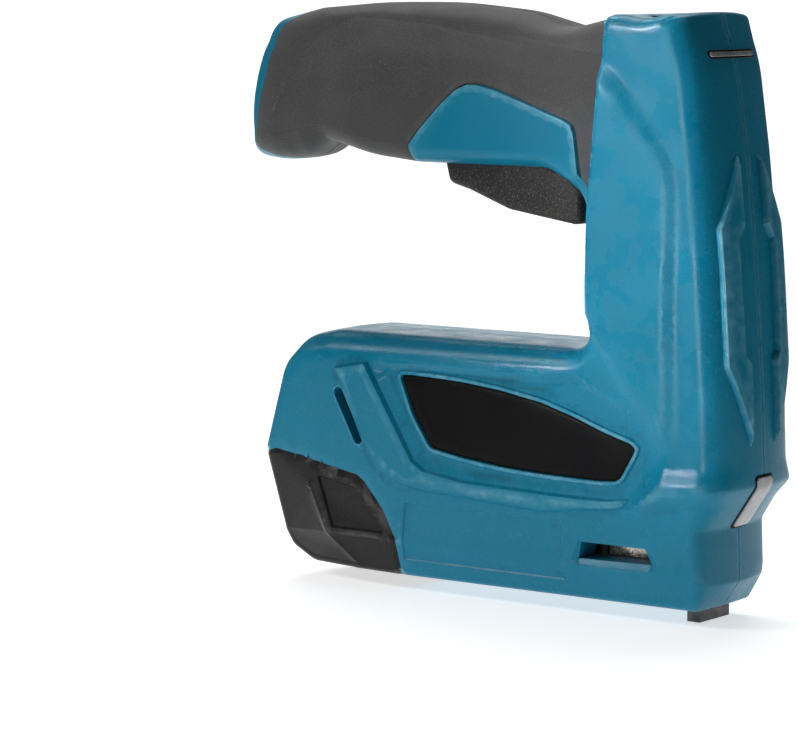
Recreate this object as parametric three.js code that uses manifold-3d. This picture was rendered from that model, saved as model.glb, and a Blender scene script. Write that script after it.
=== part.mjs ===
// A cordless electric stapler. A motor and two gear stages turn a sector gear, which lifts a sprung
// striker by its rack. Let go, the striker drives a thin blade down through the nose onto one staple.
// Everything is drawn in the tool's own frame, in millimetres: the nose foot is at X 0, +X is forward,
// +Z is up and +Y is the tool's left side. The outermost group then moves it onto its rest point.
import * as THREE from 'three';
import { mergeVertices } from 'three/addons/utils/BufferGeometryUtils.js';
import Module from 'manifold-3d';

const wasm = await Module();
wasm.setup();

// Driving dimensions

const GAP = 0.3; // clearance between pieces that touch
const WELD = 0.01;
const REST_POINT = { x: -80.4, z: -0.5 }; // centre of the tool's footprint, under the foot

const WALL = 2.4; // moulded shell
const RUBBER = 2.0; // soft skin over the handle
const HALF = { column: 24, base: 22, handle: 17.2 }; // half widths

const COLUMN_SIDE = [
  [-30, 184.2], [-8, 184.4], [-0.8, 185], [3.4, 181], [5.7, 170.5], [8.1, 156.8], [12.1, 124.6],
  [14.8, 93], [16.7, 56], [17.3, 43], [8.6, 29.4], [8.9, 12], [2.9, 3.8], [-35.4, 3.8],
  [-35, 70], [-34.6, 98], [-34.7, 116], [-31, 159],
];
const BASE_SIDE = [
  [-30, 96], [-36, 84.4], [-44, 82], [-135.7, 82], [-146.4, 77.6], [-154.8, 69.7], [-158.2, 56.9],
  [-162.3, 41.2], [-161.7, 36.6], [-157.6, 14], [-155.1, 8.1], [-147.5, 3.8], [-20, 3.8], [-20, 96],
];
const HANDLE_SIDE = [
  [-20, 183], [-44, 181.2], [-56.6, 181.7], [-70, 185], [-97, 187.6], [-113, 187.7], [-145.3, 186],
  [-166, 182.7], [-172.8, 174.7], [-177.6, 158.1], [-177.6, 144.9], [-175.2, 136.6], [-164.3, 135.7],
  [-152.5, 137.2], [-145, 141.4], [-131, 139.8], [-115, 136.8], [-46, 133], [-38, 118.6],
  [-34.7, 112], [-20, 112],
];
const MAGAZINE_END = [
  [-164, 42.3], [-157.5, 41.3], [-133.5, 37.4], [-122.4, 35.5], [-119.2, 32.8], [-108.3, 16],
  [-108.3, 2], [-164, 2],
];
const RUBBER_REGION = [
  [-30, 192], [-31.3, 170.7], [-32.9, 143.4], [-35.1, 116], [-38.1, 118.6], [-41.9, 138.4],
  [-44.2, 151], [-61.8, 157.5], [-78.9, 161.8], [-88.5, 159.4], [-107.7, 138.7], [-106, 132],
  [-174, 132], [-177, 150], [-176.3, 165], [-171.5, 192],
];
const BADGE = [
  [-105, 69.2], [-88.6, 69.6], [-73.1, 68.3], [-57.8, 66.1], [-42.8, 62.7], [-27.3, 57.4],
  [-15.8, 53.2], [-22, 42.6], [-29, 41.9], [-50.1, 42.3], [-80.7, 44.8], [-94, 48], [-100.4, 57.1],
];
const BADGE_BAND = [
  [-112.3, 70.4], [-106.3, 72.4], [-92.5, 72.7], [-69.6, 71.6], [-42.5, 71.2], [-27.4, 66.8],
  [-12.5, 61.7], [-7.9, 57.8], [-6.5, 53.7], [-12.3, 42.2], [-17.2, 37.6], [-50.1, 36.9],
  [-96.4, 39.8], [-106.3, 51.8],
];
const BADGE_FACE = 21.6; // how far out the plate's face lies
const BADGE_THICK = 0.9;
const VENT_SLOT = [[-131, 62.9], [-127.7, 63.2], [-120, 48.1], [-123.7, 47]];
const WINDOW = [[-35.1, 22.2], [-14.2, 22.2], [-11.8, 17], [-37.6, 17]];

const TRIGGER_SIDE = [
  [-97.3, 137.7], [-95.3, 131.4], [-87.9, 128.5], [-80.1, 126.2], [-72, 122.8], [-53.4, 119.8],
  [-45.6, 119.6], [-45.6, 130.1], [-48.5, 147.6], [-93, 147.6],
];
const TRIGGER_HALF = 8.6;
const TRIGGER_PIN = { x: -91, z: 141.5, r: 2 };
const SWITCH = { x: -62, bottom: 152.6, top: 162.6 };

const BAR = { half: 12.6, low: 171.8, high: 173.6 };
const CHIN_LENS = [[10.2, 41.5], [16.3, 42.6], [8.3, 30.4], [5.6, 30.4]];
const CHIN_LENS_HALF = 4.6;
const DIAL = { x: -16, r: 8.6, low: 178.6, high: 184 };

const SCREWS = [
  [-168, 147], [-135, 148], [-48, 168], [-26.3, 134], [2, 150], [6, 60], [-98, 75.6], [-149, 60],
];
const SCREW = { shank: 1.45, head: 2.8, headHigh: 2, length: 26, seat: 3 };

const MODULE = 1; // of the rack, the sector and the second stage
const MODULE_1 = 0.8; // of the first stage
const SECTOR_TEETH = 24;
const GEAR_TEETH = 30;
const PINION_TEETH = 12;
const WHEEL_TEETH = 36;
const MOTOR_TEETH = 10;
const AXLE_Z = 60;
const LIFT_X = -38;
const STAGE_X = LIFT_X - MODULE * (GEAR_TEETH + PINION_TEETH) / 2;
const MOTOR_X = STAGE_X - MODULE_1 * (WHEEL_TEETH + MOTOR_TEETH) / 2;
const RACK_X = LIFT_X + MODULE * SECTOR_TEETH / 2;
const SPRING_X = -14; // the striker spring, its guide rod and the dial lean on this line
const CARRIAGE = { low: 32.2, high: 66, front: -3.2, half: 8.6 };
const SPRING_TOP = 165;
const ROD_R = 3;

const MOTOR = { r: 12.2, rear: -19, front: 1.5 };
const CELL = { r: 9.15, rear: -159, front: -94, z: 168 };
const STAPLE = { crown: 11.3, wire: 0.7, top: 20.5, leg: 10 };
const STRIP = { front: -3.3, rear: -45 };
const RAIL = { half: 4.6, top: 19.5, low: 6.5, wall: 1 };
const LATCH = { x: -157.6, z: 16, half: 6.4 };
const CHANNEL = { inner: 6.3, wall: 0.8, low: 5, high: 22.4, front: -5.2, rear: -150 };

// Materials

const paint = (color, roughness, metalness = 0) => () => (
  new THREE.MeshStandardMaterial({ color, roughness, metalness })
);
const teal = paint(0x0e7391, 0.42);
const rubber = paint(0x3c3d3f, 0.85);
const blackPlastic = paint(0x1b1c1e, 0.45);
const greyPlastic = paint(0x45474a, 0.6);
const lens = paint(0x9ea3a6, 0.3);
const steel = paint(0xa9adb0, 0.35, 1);
const darkSteel = paint(0x3a3c3f, 0.4, 1);
const springSteel = paint(0x8d9094, 0.3, 1);
const nylon = paint(0xd9d5c8, 0.55);
const board = paint(0x1c5a34, 0.5);
const nickel = paint(0xc3c4bf, 0.3, 1);
const cellWrap = paint(0x2f6f4f, 0.5);
const redWire = paint(0xa3201c, 0.6);
const blackWire = paint(0x202022, 0.6);

// Solids

function solid(geometry, weld = 1e-4) {
  geometry.deleteAttribute('normal');
  geometry.deleteAttribute('uv');
  const merged = mergeVertices(geometry, weld);
  return new wasm.Manifold(new wasm.Mesh({
    numProp: 3,
    vertProperties: new Float32Array(merged.attributes.position.array),
    triVerts: new Uint32Array(merged.index.array),
  }));
}

function geometryOf(manifold) {
  const mesh = manifold.getMesh();
  const geometry = new THREE.BufferGeometry();
  geometry.setAttribute('position', new THREE.BufferAttribute(mesh.vertProperties, 3));
  geometry.setIndex(new THREE.BufferAttribute(mesh.triVerts, 1));
  geometry.computeVertexNormals();
  return geometry;
}

function block(x0, x1, y0, y1, z0, z1) {
  const box = new THREE.BoxGeometry(x1 - x0, y1 - y0, z1 - z0);
  box.translate((x0 + x1) / 2, (y0 + y1) / 2, (z0 + z1) / 2);
  return solid(box);
}

function rodAlong(axis, at, r, from, to, sides = 16) {
  const rod = new THREE.CylinderGeometry(r, r, to - from, sides);
  rod.translate(0, (from + to) / 2, 0);
  if (axis === 'x') {
    rod.rotateZ(-Math.PI / 2);
    rod.translate(0, at[0], at[1]);
  } else if (axis === 'y') {
    rod.translate(at[0], 0, at[1]);
  } else {
    rod.rotateX(Math.PI / 2);
    rod.translate(at[0], at[1], 0);
  }
  return solid(rod);
}

function outline(points) {
  return new THREE.Shape(points.map(([x, y]) => new THREE.Vector2(x, y)));
}

// A side view, given as X and Z, made solid from y0 to y1.
function sidePlate(points, y0, y1) {
  const plate = new THREE.ExtrudeGeometry(outline(points), { depth: y1 - y0, bevelEnabled: false });
  plate.rotateX(Math.PI / 2);
  plate.translate(0, y1, 0);
  return solid(plate);
}

// An end view, given as Y and Z, made solid from x0 to x1.
function endPlate(points, x0, x1) {
  const plate = new THREE.ExtrudeGeometry(outline(points), { depth: x1 - x0, bevelEnabled: false });
  plate.rotateX(Math.PI / 2);
  plate.rotateZ(Math.PI / 2);
  plate.translate(x0, 0, 0);
  return solid(plate);
}

// A plan view, given as X and Y, made solid from z0 to z1 and leaning back by lean over its height.
function leaningPlan(points, z0, z1, lean) {
  const plate = new THREE.ExtrudeGeometry(outline(points), { depth: z1 - z0, bevelEnabled: false });
  const shear = new THREE.Matrix4().set(1, 0, -lean, 0, 0, 1, 0, 0, 0, 0, 1, z0, 0, 0, 0, 1);
  plate.applyMatrix4(shear);
  return solid(plate);
}

// Moves every edge of an outline inwards by the same amount.
function shrink(points, inset) {
  const area = THREE.ShapeUtils.area(points.map(([x, y]) => new THREE.Vector2(x, y)));
  const turn = Math.sign(area) * inset;
  return points.map((here, i) => {
    const before = points[(i + points.length - 1) % points.length];
    const after = points[(i + 1) % points.length];
    const a = new THREE.Vector2(here[0] - before[0], here[1] - before[1]).normalize();
    const b = new THREE.Vector2(after[0] - here[0], after[1] - here[1]).normalize();
    const n = new THREE.Vector2(-a.y - b.y, a.x + b.x);
    const reach = turn / Math.max(0.35, (1 + a.dot(b)));
    return [here[0] + n.x * reach, here[1] + n.y * reach];
  });
}

// Half of a rounded end view, mirrored, with corners of the given radius.
function roundedSection(half, low, high, radius, steps = 4) {
  const points = [];
  const corners = [[half, high, 0], [-half, high, 1], [-half, low, 2], [half, low, 3]];
  for (const [y, z, quarter] of corners) {
    const cy = y - Math.sign(y) * radius;
    const cz = z === high ? z - radius : z + radius;
    for (let i = 0; i <= steps; i += 1) {
      const angle = (quarter + i / steps) * Math.PI / 2;
      points.push([cy + radius * Math.cos(angle), cz + radius * Math.sin(angle)]);
    }
  }
  return points;
}

function joined(solids) {
  return solids.reduce((sum, next) => sum.add(next));
}

function cut(body, tools) {
  return tools.reduce((rest, tool) => rest.subtract(tool), body);
}

// The biggest single piece of a cut. Corners closer than WELD become one, so no slivers are left.
function largest(body) {
  const mesh = body.getMesh();
  const geometry = new THREE.BufferGeometry();
  geometry.setAttribute('position', new THREE.BufferAttribute(mesh.vertProperties, 3));
  geometry.setIndex(new THREE.BufferAttribute(mesh.triVerts, 1));
  const pieces = solid(geometry, WELD).decompose();
  return pieces.reduce((best, next) => (next.volume() > best.volume() ? next : best));
}

// Outer forms, each drawn in full width. inset draws the same form inside itself.

function columnForm(inset) {
  const half = HALF.column - inset;
  const front = 17.3 - inset;
  const rear = -60;
  const plan = (nose) => [
    [nose, 0], [nose - 1, 8], [nose - 3, 16], [nose - 5.4, half - 2.6], [nose - 8, half - 0.6],
    [nose - 12, half], [rear, half], [rear, -half], [nose - 12, -half], [nose - 8, -half + 0.6],
    [nose - 5.4, -half + 2.6], [nose - 3, -16], [nose - 1, -8],
  ];
  const lower = leaningPlan(plan(front + 1.4), 0, 114, 0.034);
  const upper = leaningPlan(plan(front - 2.5), 113, 190, 0.17);
  const side = sidePlate(shrink(COLUMN_SIDE, inset), -HALF.column, HALF.column);
  return side.intersect(lower.add(upper));
}

function baseForm(inset) {
  const section = roundedSection(HALF.base - inset, 3.8 + inset, 100, 5);
  const roof = roundedSection(HALF.base - inset, -20, 82.4 - inset, 6).map(([y, z]) => [y, z]);
  const side = sidePlate(shrink(BASE_SIDE, inset), -HALF.base, HALF.base);
  const flared = endPlate(section, -170, -10).intersect(endPlate(roof, -170, -44.2));
  const root = endPlate(section, -45, -10);
  return side.intersect(flared.add(root));
}

function handleForm(inset) {
  const half = HALF.handle - inset;
  const section = roundedSection(half, 110, 188 - inset, 10 - inset / 2);
  const belly = roundedSection(half, 135.7 + inset, 200, 9 - inset / 2);
  const side = sidePlate(shrink(HANDLE_SIDE, inset), -HALF.handle, HALF.handle);
  const grip = endPlate(section, -190, -10).intersect(endPlate(belly, -190, -46));
  const root = endPlate(section, -48, -10);
  return side.intersect(grip.add(root));
}

function wholeForm(inset) {
  return joined([columnForm(inset), baseForm(inset), handleForm(inset)]);
}

const HALF_SPACE = {
  right: () => block(-200, 40, -40, -GAP / 2, -20, 220),
  left: () => block(-200, 40, GAP / 2, 40, -20, 220),
};

function screwHoles() {
  return SCREWS.map(([x, z]) => joined([
    rodAlong('y', [x, z], SCREW.shank + GAP, -SCREW.length / 2 - 2, 30, 8),
    rodAlong('y', [x, z], SCREW.head + GAP, screwSeat(x, z), 30, 10),
  ]));
}

function screwSeat(x, z) {
  const onHandle = z > 140 && x < -34;
  const half = onHandle ? HALF.handle : HALF.base;
  return half - SCREW.seat - SCREW.headHigh;
}

function bosses() {
  return SCREWS.map(([x, z]) => rodAlong('y', [x, z], SCREW.head + 0.9, -30, 30, 10));
}

function shellOpenings() {
  const wide = 30;
  return [
    rodAlong('y', [TRIGGER_PIN.x, TRIGGER_PIN.z], TRIGGER_PIN.r + GAP, -10.8, 10.8, 12),
    block(-99.2, -42.2, -TRIGGER_HALF - 0.6, TRIGGER_HALF + 0.6, 105, 148.4),
    block(-160, -4, -CHANNEL.inner - CHANNEL.wall - GAP, CHANNEL.inner + CHANNEL.wall + GAP, 4.6, 22.8),
    block(-11, 0.5, -9.1, 9.1, -2, 20),
    sidePlate(WINDOW, -wide, wide),
    sidePlate(VENT_SLOT, -wide, wide),
    sidePlate(shrink(MAGAZINE_END, -GAP), -wide, wide),
    block(-12, 20, -BAR.half - GAP, BAR.half + GAP, BAR.low - GAP, BAR.high + GAP),
    sidePlate(shrink(CHIN_LENS, -GAP), -CHIN_LENS_HALF - GAP, CHIN_LENS_HALF + GAP),
    block(8, 25, -CHIN_LENS_HALF - GAP, CHIN_LENS_HALF + GAP, 33, 43.5),
    rodAlong('z', [DIAL.x, 0], DIAL.r + GAP, DIAL.low - GAP, 190, 20),
    block(-190, -167, -4.4, 4.4, 156, 160.2),
    ...[-1, 1].flatMap((side) => badgePockets(side)),
  ];
}

function badgePockets(side) {
  const span = (points, from, to) => sidePlate(points, Math.min(side * from, side * to),
    Math.max(side * from, side * to));
  const floor = BADGE_FACE - BADGE_THICK - GAP;
  return [
    span(shrink(BADGE, -GAP), floor, 30),
    span(BADGE_BAND, BADGE_FACE - 0.1, 30),
  ];
}

function housing(side) {
  const floor = HALF.base - WALL;
  const skin = wholeForm(0);
  const bed = wholeForm(RUBBER + GAP);
  const region = sidePlate(RUBBER_REGION, -30, 30);
  const blank = cut(skin, [region]).add(bed);
  const magazineWall = sidePlate(shrink(MAGAZINE_END, -GAP - WALL), -30, 30);
  const core = joined([columnForm(WALL), baseForm(WALL), handleForm(RUBBER + GAP + WALL)]);
  const behindBadges = [-1, 1].map((s) => block(-200, 40, s > 0 ? floor : -40, s > 0 ? 40 : -floor, 0, 76));
  const hollow = cut(core, [magazineWall, ...behindBadges, ...bosses()]);
  const shell = blank.subtract(hollow);
  const opened = cut(shell, [...shellOpenings(), ...screwHoles()]);
  return largest(opened.intersect(HALF_SPACE[side]()));
}

function grip(side) {
  const skin = wholeForm(0).subtract(wholeForm(RUBBER));
  const region = sidePlate(shrink(RUBBER_REGION, GAP), -30, 30);
  const socket = block(-190, -167, -5, 5, 155.4, 160.8);
  const body = cut(skin.intersect(region), [socket, ...screwHoles()]);
  return largest(body.intersect(HALF_SPACE[side]()));
}

function badge(side) {
  const near = BADGE_FACE - BADGE_THICK;
  const from = side === 'right' ? -BADGE_FACE : near;
  return sidePlate(BADGE, from, from + BADGE_THICK);
}

// Small fittings of the shell

function indicatorLens() {
  const bar = roundedSection(BAR.half, BAR.low, BAR.high, 0.85, 3);
  const strip = endPlate(bar, -4, 8).intersect(columnForm(0));
  return largest(strip.subtract(columnForm(WALL + 1)));
}

function workLightLens() {
  const wedge = sidePlate(CHIN_LENS, -CHIN_LENS_HALF, CHIN_LENS_HALF);
  return largest(wedge.intersect(columnForm(0)));
}

function forceDial() {
  const disc = rodAlong('z', [0, 0], DIAL.r, DIAL.low, DIAL.high, 20);
  const stem = rodAlong('z', [0, 0], 2.5, DIAL.low - 5, DIAL.low + 1, 12);
  const grooves = Array.from({ length: 10 }, (_, i) => {
    const angle = (i / 10) * Math.PI * 2;
    const r = DIAL.r + 0.3;
    return rodAlong('z', [r * Math.cos(angle), r * Math.sin(angle)], 0.9, DIAL.low + 2, 190, 6);
  });
  return cut(disc.add(stem), grooves);
}

function screw() {
  const { shank, head, headHigh, length } = SCREW;
  const profile = [[0, 0], [shank, 2.4], [shank, length], [head, length],
    [head, length + headHigh * 0.5], [head * 0.6, length + headHigh], [0, length + headHigh]];
  return solid(new THREE.LatheGeometry(profile.map(([x, y]) => new THREE.Vector2(x, y)), 8));
}

// Trigger

function trigger() {
  const body = sidePlate(TRIGGER_SIDE, -TRIGGER_HALF, TRIGGER_HALF);
  const rounded = body.intersect(endPlate(roundedSection(TRIGGER_HALF, 117, 175, 4), -110, -30));
  const hole = rodAlong('y', [TRIGGER_PIN.x, TRIGGER_PIN.z], TRIGGER_PIN.r + GAP, -20, 20, 12);
  const pocket = block(-88, -66, -5.5, 5.5, 136, 160);
  return cut(rounded, [hole, pocket]);
}

function triggerSwitch() {
  const body = block(SWITCH.x - 10, SWITCH.x + 10, -3.2, 3.2, SWITCH.bottom, SWITCH.top);
  const bore = rodAlong('z', [SWITCH.x, 0], 1.8, SWITCH.bottom - 1, SWITCH.top - 2, 10);
  const tabs = [-6, 6].map((dx) => block(
    SWITCH.x + dx - 1.2, SWITCH.x + dx + 1.2, -0.4, 0.4, SWITCH.top - 0.5, SWITCH.top + 3.5,
  ));
  return joined([body, ...tabs]).subtract(bore);
}

class Helix extends THREE.Curve {
  constructor(radius, turns, from, to) {
    super();
    Object.assign(this, { radius, turns, from, to });
  }

  getPoint(t, target = new THREE.Vector3()) {
    const angle = t * this.turns * Math.PI * 2;
    const z = this.from + (this.to - this.from) * t;
    return target.set(this.radius * Math.cos(angle), this.radius * Math.sin(angle), z);
  }
}

function tube(curve, radius, steps, sides) {
  const section = new THREE.Shape(Array.from({ length: sides }, (_, i) => {
    const angle = (i / sides) * Math.PI * 2;
    return new THREE.Vector2(radius * Math.cos(angle), radius * Math.sin(angle));
  }));
  return new THREE.ExtrudeGeometry(section, { steps, extrudePath: curve, bevelEnabled: false });
}

function spring(radius, wire, turns, from, to, stepsPerTurn = 9) {
  const helix = new Helix(radius, turns, from + wire, to - wire);
  return solid(tube(helix, wire, Math.round(turns * stepsPerTurn), 5));
}

// Gears lie in X and Z and turn about Y. A tooth has its root, pitch and tip points on each flank.

function toothPoints(module, teeth, index, phase, backlash) {
  const pitch = module * teeth / 2;
  const step = Math.PI * 2 / teeth;
  const middle = index * step + phase;
  const half = (step / 2 - backlash / pitch) / 2;
  const press = Math.tan(20 * Math.PI / 180);
  const addendum = 0.85 * module;
  const dedendum = 1.1 * module;
  const tip = half - addendum * press / pitch;
  const root = Math.min(half + dedendum * press / pitch, step * 0.42);
  const flank = [[pitch - dedendum, root], [pitch, half], [pitch + addendum, tip]];
  const low = flank.map(([r, a]) => [r, middle - a]);
  const high = flank.map(([r, a]) => [r, middle + a]).reverse();
  return [...low, ...high].map(([r, a]) => [r * Math.cos(a), r * Math.sin(a)]);
}

function gear(module, teeth, phase, y0, y1, backlash = 0.2) {
  const points = Array.from({ length: teeth }, (_, i) => (
    toothPoints(module, teeth, i, phase, backlash)
  )).flat();
  return sidePlate(points, y0, y1);
}

// The sector has teeth only on the arc that lifts the rack; the rest is a plain rim.
function sectorGear(y0, y1) {
  const pitch = MODULE * SECTOR_TEETH / 2;
  const rim = pitch - 1.1 * MODULE;
  const points = [];
  for (let i = -9; i <= 1; i += 1) {
    points.push(...toothPoints(MODULE, SECTOR_TEETH, i, 0, 0.2));
  }
  for (let a = 25; a < 210; a += 15) {
    const angle = a * Math.PI / 180;
    points.push([rim * Math.cos(angle), rim * Math.sin(angle)]);
  }
  return sidePlate(points, y0, y1);
}

function liftingGear() {
  const wheel = gear(MODULE, GEAR_TEETH, 0, 10, 15);
  const hub = rodAlong('y', [0, 0], 4.5, -6, 15.4, 16);
  const bore = rodAlong('y', [0, 0], 2.5 + GAP, -20, 20, 12);
  return joined([wheel, hub, sectorGear(-4, 4)]).subtract(bore);
}

function compoundGear() {
  const wheel = gear(MODULE_1, WHEEL_TEETH, 0, 4.6, 7.6);
  const pinion = gear(MODULE, PINION_TEETH, Math.PI / PINION_TEETH, 7.4, 15.2);
  const bore = rodAlong('y', [0, 0], 2 + GAP, -20, 20, 12);
  return wheel.add(pinion).subtract(bore);
}

function motorPinion() {
  const teeth = gear(MODULE_1, MOTOR_TEETH, Math.PI / MOTOR_TEETH, 3.8, 8.4);
  return teeth.add(rodAlong('y', [0, 0], 1, -17, 4, 10));
}

function motorCan() {
  const can = rodAlong('y', [0, 0], MOTOR.r, MOTOR.rear + 2.3, MOTOR.front, 28);
  const shaftHole = rodAlong('y', [0, 0], 1.6, MOTOR.rear - 1, MOTOR.front + 1, 12);
  const core = rodAlong('y', [0, 0], MOTOR.r - 1.4, MOTOR.rear, MOTOR.front - 2.4, 28);
  const rotor = rodAlong('y', [0, 0], 8, MOTOR.rear + 4, MOTOR.front - 1, 12).subtract(shaftHole);
  return can.subtract(core).subtract(shaftHole).add(rotor);
}

function motorCap() {
  const cap = rodAlong('y', [0, 0], MOTOR.r - 0.4, MOTOR.rear, MOTOR.rear + 2, 28);
  const tabs = [-6, 6].map((x) => block(x - 1.2, x + 1.2, MOTOR.rear - 0.4, MOTOR.rear + 0.4, 6, 9));
  return joined([cap, ...tabs]);
}

function platesHole(points, y0, y1, holes) {
  const bores = holes.map(([x, r]) => rodAlong('y', [x, AXLE_Z], r, y0 - 1, y1 + 1, 14));
  return cut(sidePlate(points, y0, y1), bores);
}

function gearboxPlate(y0, y1) {
  const shape = [
    [STAGE_X - 6, 54], [STAGE_X - 6, 66], [STAGE_X + 4, 72], [LIFT_X - 4, 72], [LIFT_X + 8, 64],
    [LIFT_X + 8, 52], [LIFT_X, 46], [STAGE_X + 4, 46],
  ];
  return platesHole(shape, y0, y1, [[LIFT_X, 2.5 + GAP], [STAGE_X, 2 + GAP]]);
}

function motorPlate() {
  const shape = [
    [MOTOR_X - 14, 50], [MOTOR_X - 14, 70], [MOTOR_X - 6, 76], [STAGE_X - 2, 76], [STAGE_X + 4.6, 66],
    [STAGE_X + 4.6, 54], [STAGE_X - 2, 45], [MOTOR_X - 6, 45],
  ];
  return platesHole(shape, MOTOR.front + GAP, 3.3, [[MOTOR_X, 2], [STAGE_X, 2 + GAP]]);
}

// Striker. The rack's teeth face the sector, with a gap at the axle's height when it is down.

function rackTeeth() {
  const step = Math.PI * MODULE;
  const root = RACK_X + 1.1 * MODULE;
  const tip = RACK_X - 0.85 * MODULE;
  const press = Math.tan(20 * Math.PI / 180);
  const half = step / 4 - 0.1;
  const points = [[root + 1.5, CARRIAGE.low], [root + 1.5, CARRIAGE.high]];
  for (let i = 1; i >= -9; i -= 1) {
    const z = AXLE_Z + step * (i + 0.5);
    const foot = half + 1.1 * MODULE * press;
    const crest = half - 0.85 * MODULE * press;
    points.push([root, z + foot], [tip, z + crest], [tip, z - crest], [root, z - foot]);
  }
  return sidePlate(points, -3.6, 3.6);
}

function strikerCarriage() {
  const body = sidePlate([
    [RACK_X + 1.7, CARRIAGE.low], [CARRIAGE.front, CARRIAGE.low], [CARRIAGE.front, 56],
    [-6, CARRIAGE.high], [RACK_X + 1.7, CARRIAGE.high],
  ], -CARRIAGE.half, CARRIAGE.half);
  const bore = rodAlong('z', [SPRING_X, 0], ROD_R + GAP, 0, 90, 16);
  const pinHole = rodAlong('x', [0, 48], 1.5 + GAP, -12, 0, 12);
  const lightening = [-1, 1].map((s) => block(-22, -7, s > 0 ? 6 : -10, s > 0 ? 10 : -6, 37, 46));
  return cut(body.add(rackTeeth()), [bore, pinHole, ...lightening]);
}

function driverBlade() {
  const blade = block(-2.9, -2, -5.4, 5.4, 0.5, 55);
  return blade.subtract(rodAlong('x', [0, 48], 1.5 + GAP, -5, 0, 12));
}

function bladePin() {
  return rodAlong('x', [0, 48], 1.5, -10, -1.2, 12).add(rodAlong('x', [0, 48], 2.6, -1.7, -0.6, 12));
}

function springSeat() {
  const disc = rodAlong('z', [SPRING_X, 0], 8.8, SPRING_TOP + GAP, SPRING_TOP + 2.4, 20);
  return disc.subtract(rodAlong('z', [SPRING_X, 0], ROD_R + GAP, 100, 180, 16));
}

function bumper() {
  const ring = rodAlong('z', [SPRING_X, 0], 7.5, 27, 31.9, 20);
  return ring.subtract(rodAlong('z', [SPRING_X, 0], ROD_R + GAP, 0, 90, 16));
}

// Magazine

function magazineGrip() {
  const body = sidePlate(MAGAZINE_END, -30, 30).intersect(baseForm(0));
  const pocket = block(-151, -100, -CHANNEL.inner - CHANNEL.wall - GAP,
    CHANNEL.inner + CHANNEL.wall + GAP, 4.7, 22.7);
  const hollows = [-1, 1].map((s) => block(-150, -112, s > 0 ? 9.5 : -18, s > 0 ? 18 : -9.5, 8, 26));
  const front = block(-150, -100, -18, 18, 25, 33);
  const seat = block(-170, -155.4, -LATCH.half - GAP, LATCH.half + GAP, LATCH.z - 2.4, 36);
  return largest(cut(body, [pocket, ...hollows, front, seat]));
}

function magazineLatch() {
  const lever = sidePlate([
    [-161, 35.2], [-158.8, 35.2], [-156.6, LATCH.z + 1], [-157.2, LATCH.z - 1.6], [-158.2, LATCH.z - 1.6],
  ], -LATCH.half, LATCH.half);
  const ribs = [20, 24, 28, 32].map((z) => block(-164, -158.4 - (z - 16) * 0.115, -5, 5, z, z + 1.4));
  return cut(lever, ribs);
}

function stapleRail() {
  const outer = block(CHANNEL.rear + 0.2, STRIP.front, -RAIL.half, RAIL.half, RAIL.low, RAIL.top);
  const inner = block(CHANNEL.rear, STRIP.front + 1, -RAIL.half + RAIL.wall, RAIL.half - RAIL.wall,
    RAIL.low - 1, RAIL.top - RAIL.wall);
  return outer.subtract(inner);
}

function stapleStrip() {
  const half = STAPLE.crown / 2;
  const low = STAPLE.top - STAPLE.leg;
  const outer = block(STRIP.rear, STRIP.front, -half, half, low, STAPLE.top);
  const inner = block(STRIP.rear - 1, STRIP.front + 1, -half + STAPLE.wire, half - STAPLE.wire,
    low - 1, STAPLE.top - STAPLE.wire);
  return outer.subtract(inner);
}

function pusher() {
  const half = STAPLE.crown / 2;
  const outer = block(STRIP.rear - 14, STRIP.rear - GAP, -half, half, 9, STAPLE.top);
  const inner = block(STRIP.rear - 20, STRIP.rear + 1, -RAIL.half - GAP, RAIL.half + GAP, 8,
    RAIL.top + GAP);
  return outer.subtract(inner);
}

function magazineChannel() {
  const half = CHANNEL.inner + CHANNEL.wall;
  const outer = block(CHANNEL.rear, CHANNEL.front, -half, half, CHANNEL.low, CHANNEL.high);
  const inner = block(CHANNEL.rear - 1, CHANNEL.front + 1, -CHANNEL.inner, CHANNEL.inner,
    CHANNEL.low + CHANNEL.wall, CHANNEL.high - CHANNEL.wall);
  const views = sidePlate([[-35, 21.4], [-14, 21.4], [-14, 17.2], [-35, 17.2]], -10, 10);
  return cut(outer, [inner, views]);
}

function noseFrontPlate() {
  const face = block(-1.7, -1, -7.2, 7.2, 2.6, 36);
  const sides = [-1, 1].map((s) => block(-10, -1, s > 0 ? 6.4 : -7.2, s > 0 ? 7.2 : -6.4, 24, 31.8));
  return joined([face, ...sides]);
}

function noseContact() {
  const front = block(-0.7, 0.1, -8.6, 8.6, -0.5, 26);
  const sides = [-1, 1].map((s) => block(-4.4, 0.1, s > 0 ? 7.8 : -8.6, s > 0 ? 8.6 : -7.8, -0.5, 14));
  const shelf = block(-0.7, 5.2, -4, 4, 25.2, 26);
  return joined([front, ...sides, shelf]);
}

// Electrics

function batteryCell() {
  const can = rodAlong('x', [0, CELL.z], CELL.r, CELL.rear, CELL.front - 1.4, 24);
  return can.add(rodAlong('x', [0, CELL.z], 4, CELL.front - 1.6, CELL.front, 14));
}

function chargeSocket() {
  const shell = endPlate(roundedSection(3.9, 156.6, 159.6, 0.8, 2), -175.4, -169.4);
  const mouth = endPlate(roundedSection(3.4, 157.1, 159.1, 0.5, 2), -177, -171);
  return shell.subtract(mouth).add(block(-172, -169.8, -3, 3, 157.8, 158.4));
}

function wire(points, radius) {
  const curve = new THREE.CatmullRomCurve3(points.map(([x, y, z]) => new THREE.Vector3(x, y, z)));
  return tube(curve, radius, points.length * 3, 5);
}

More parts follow.
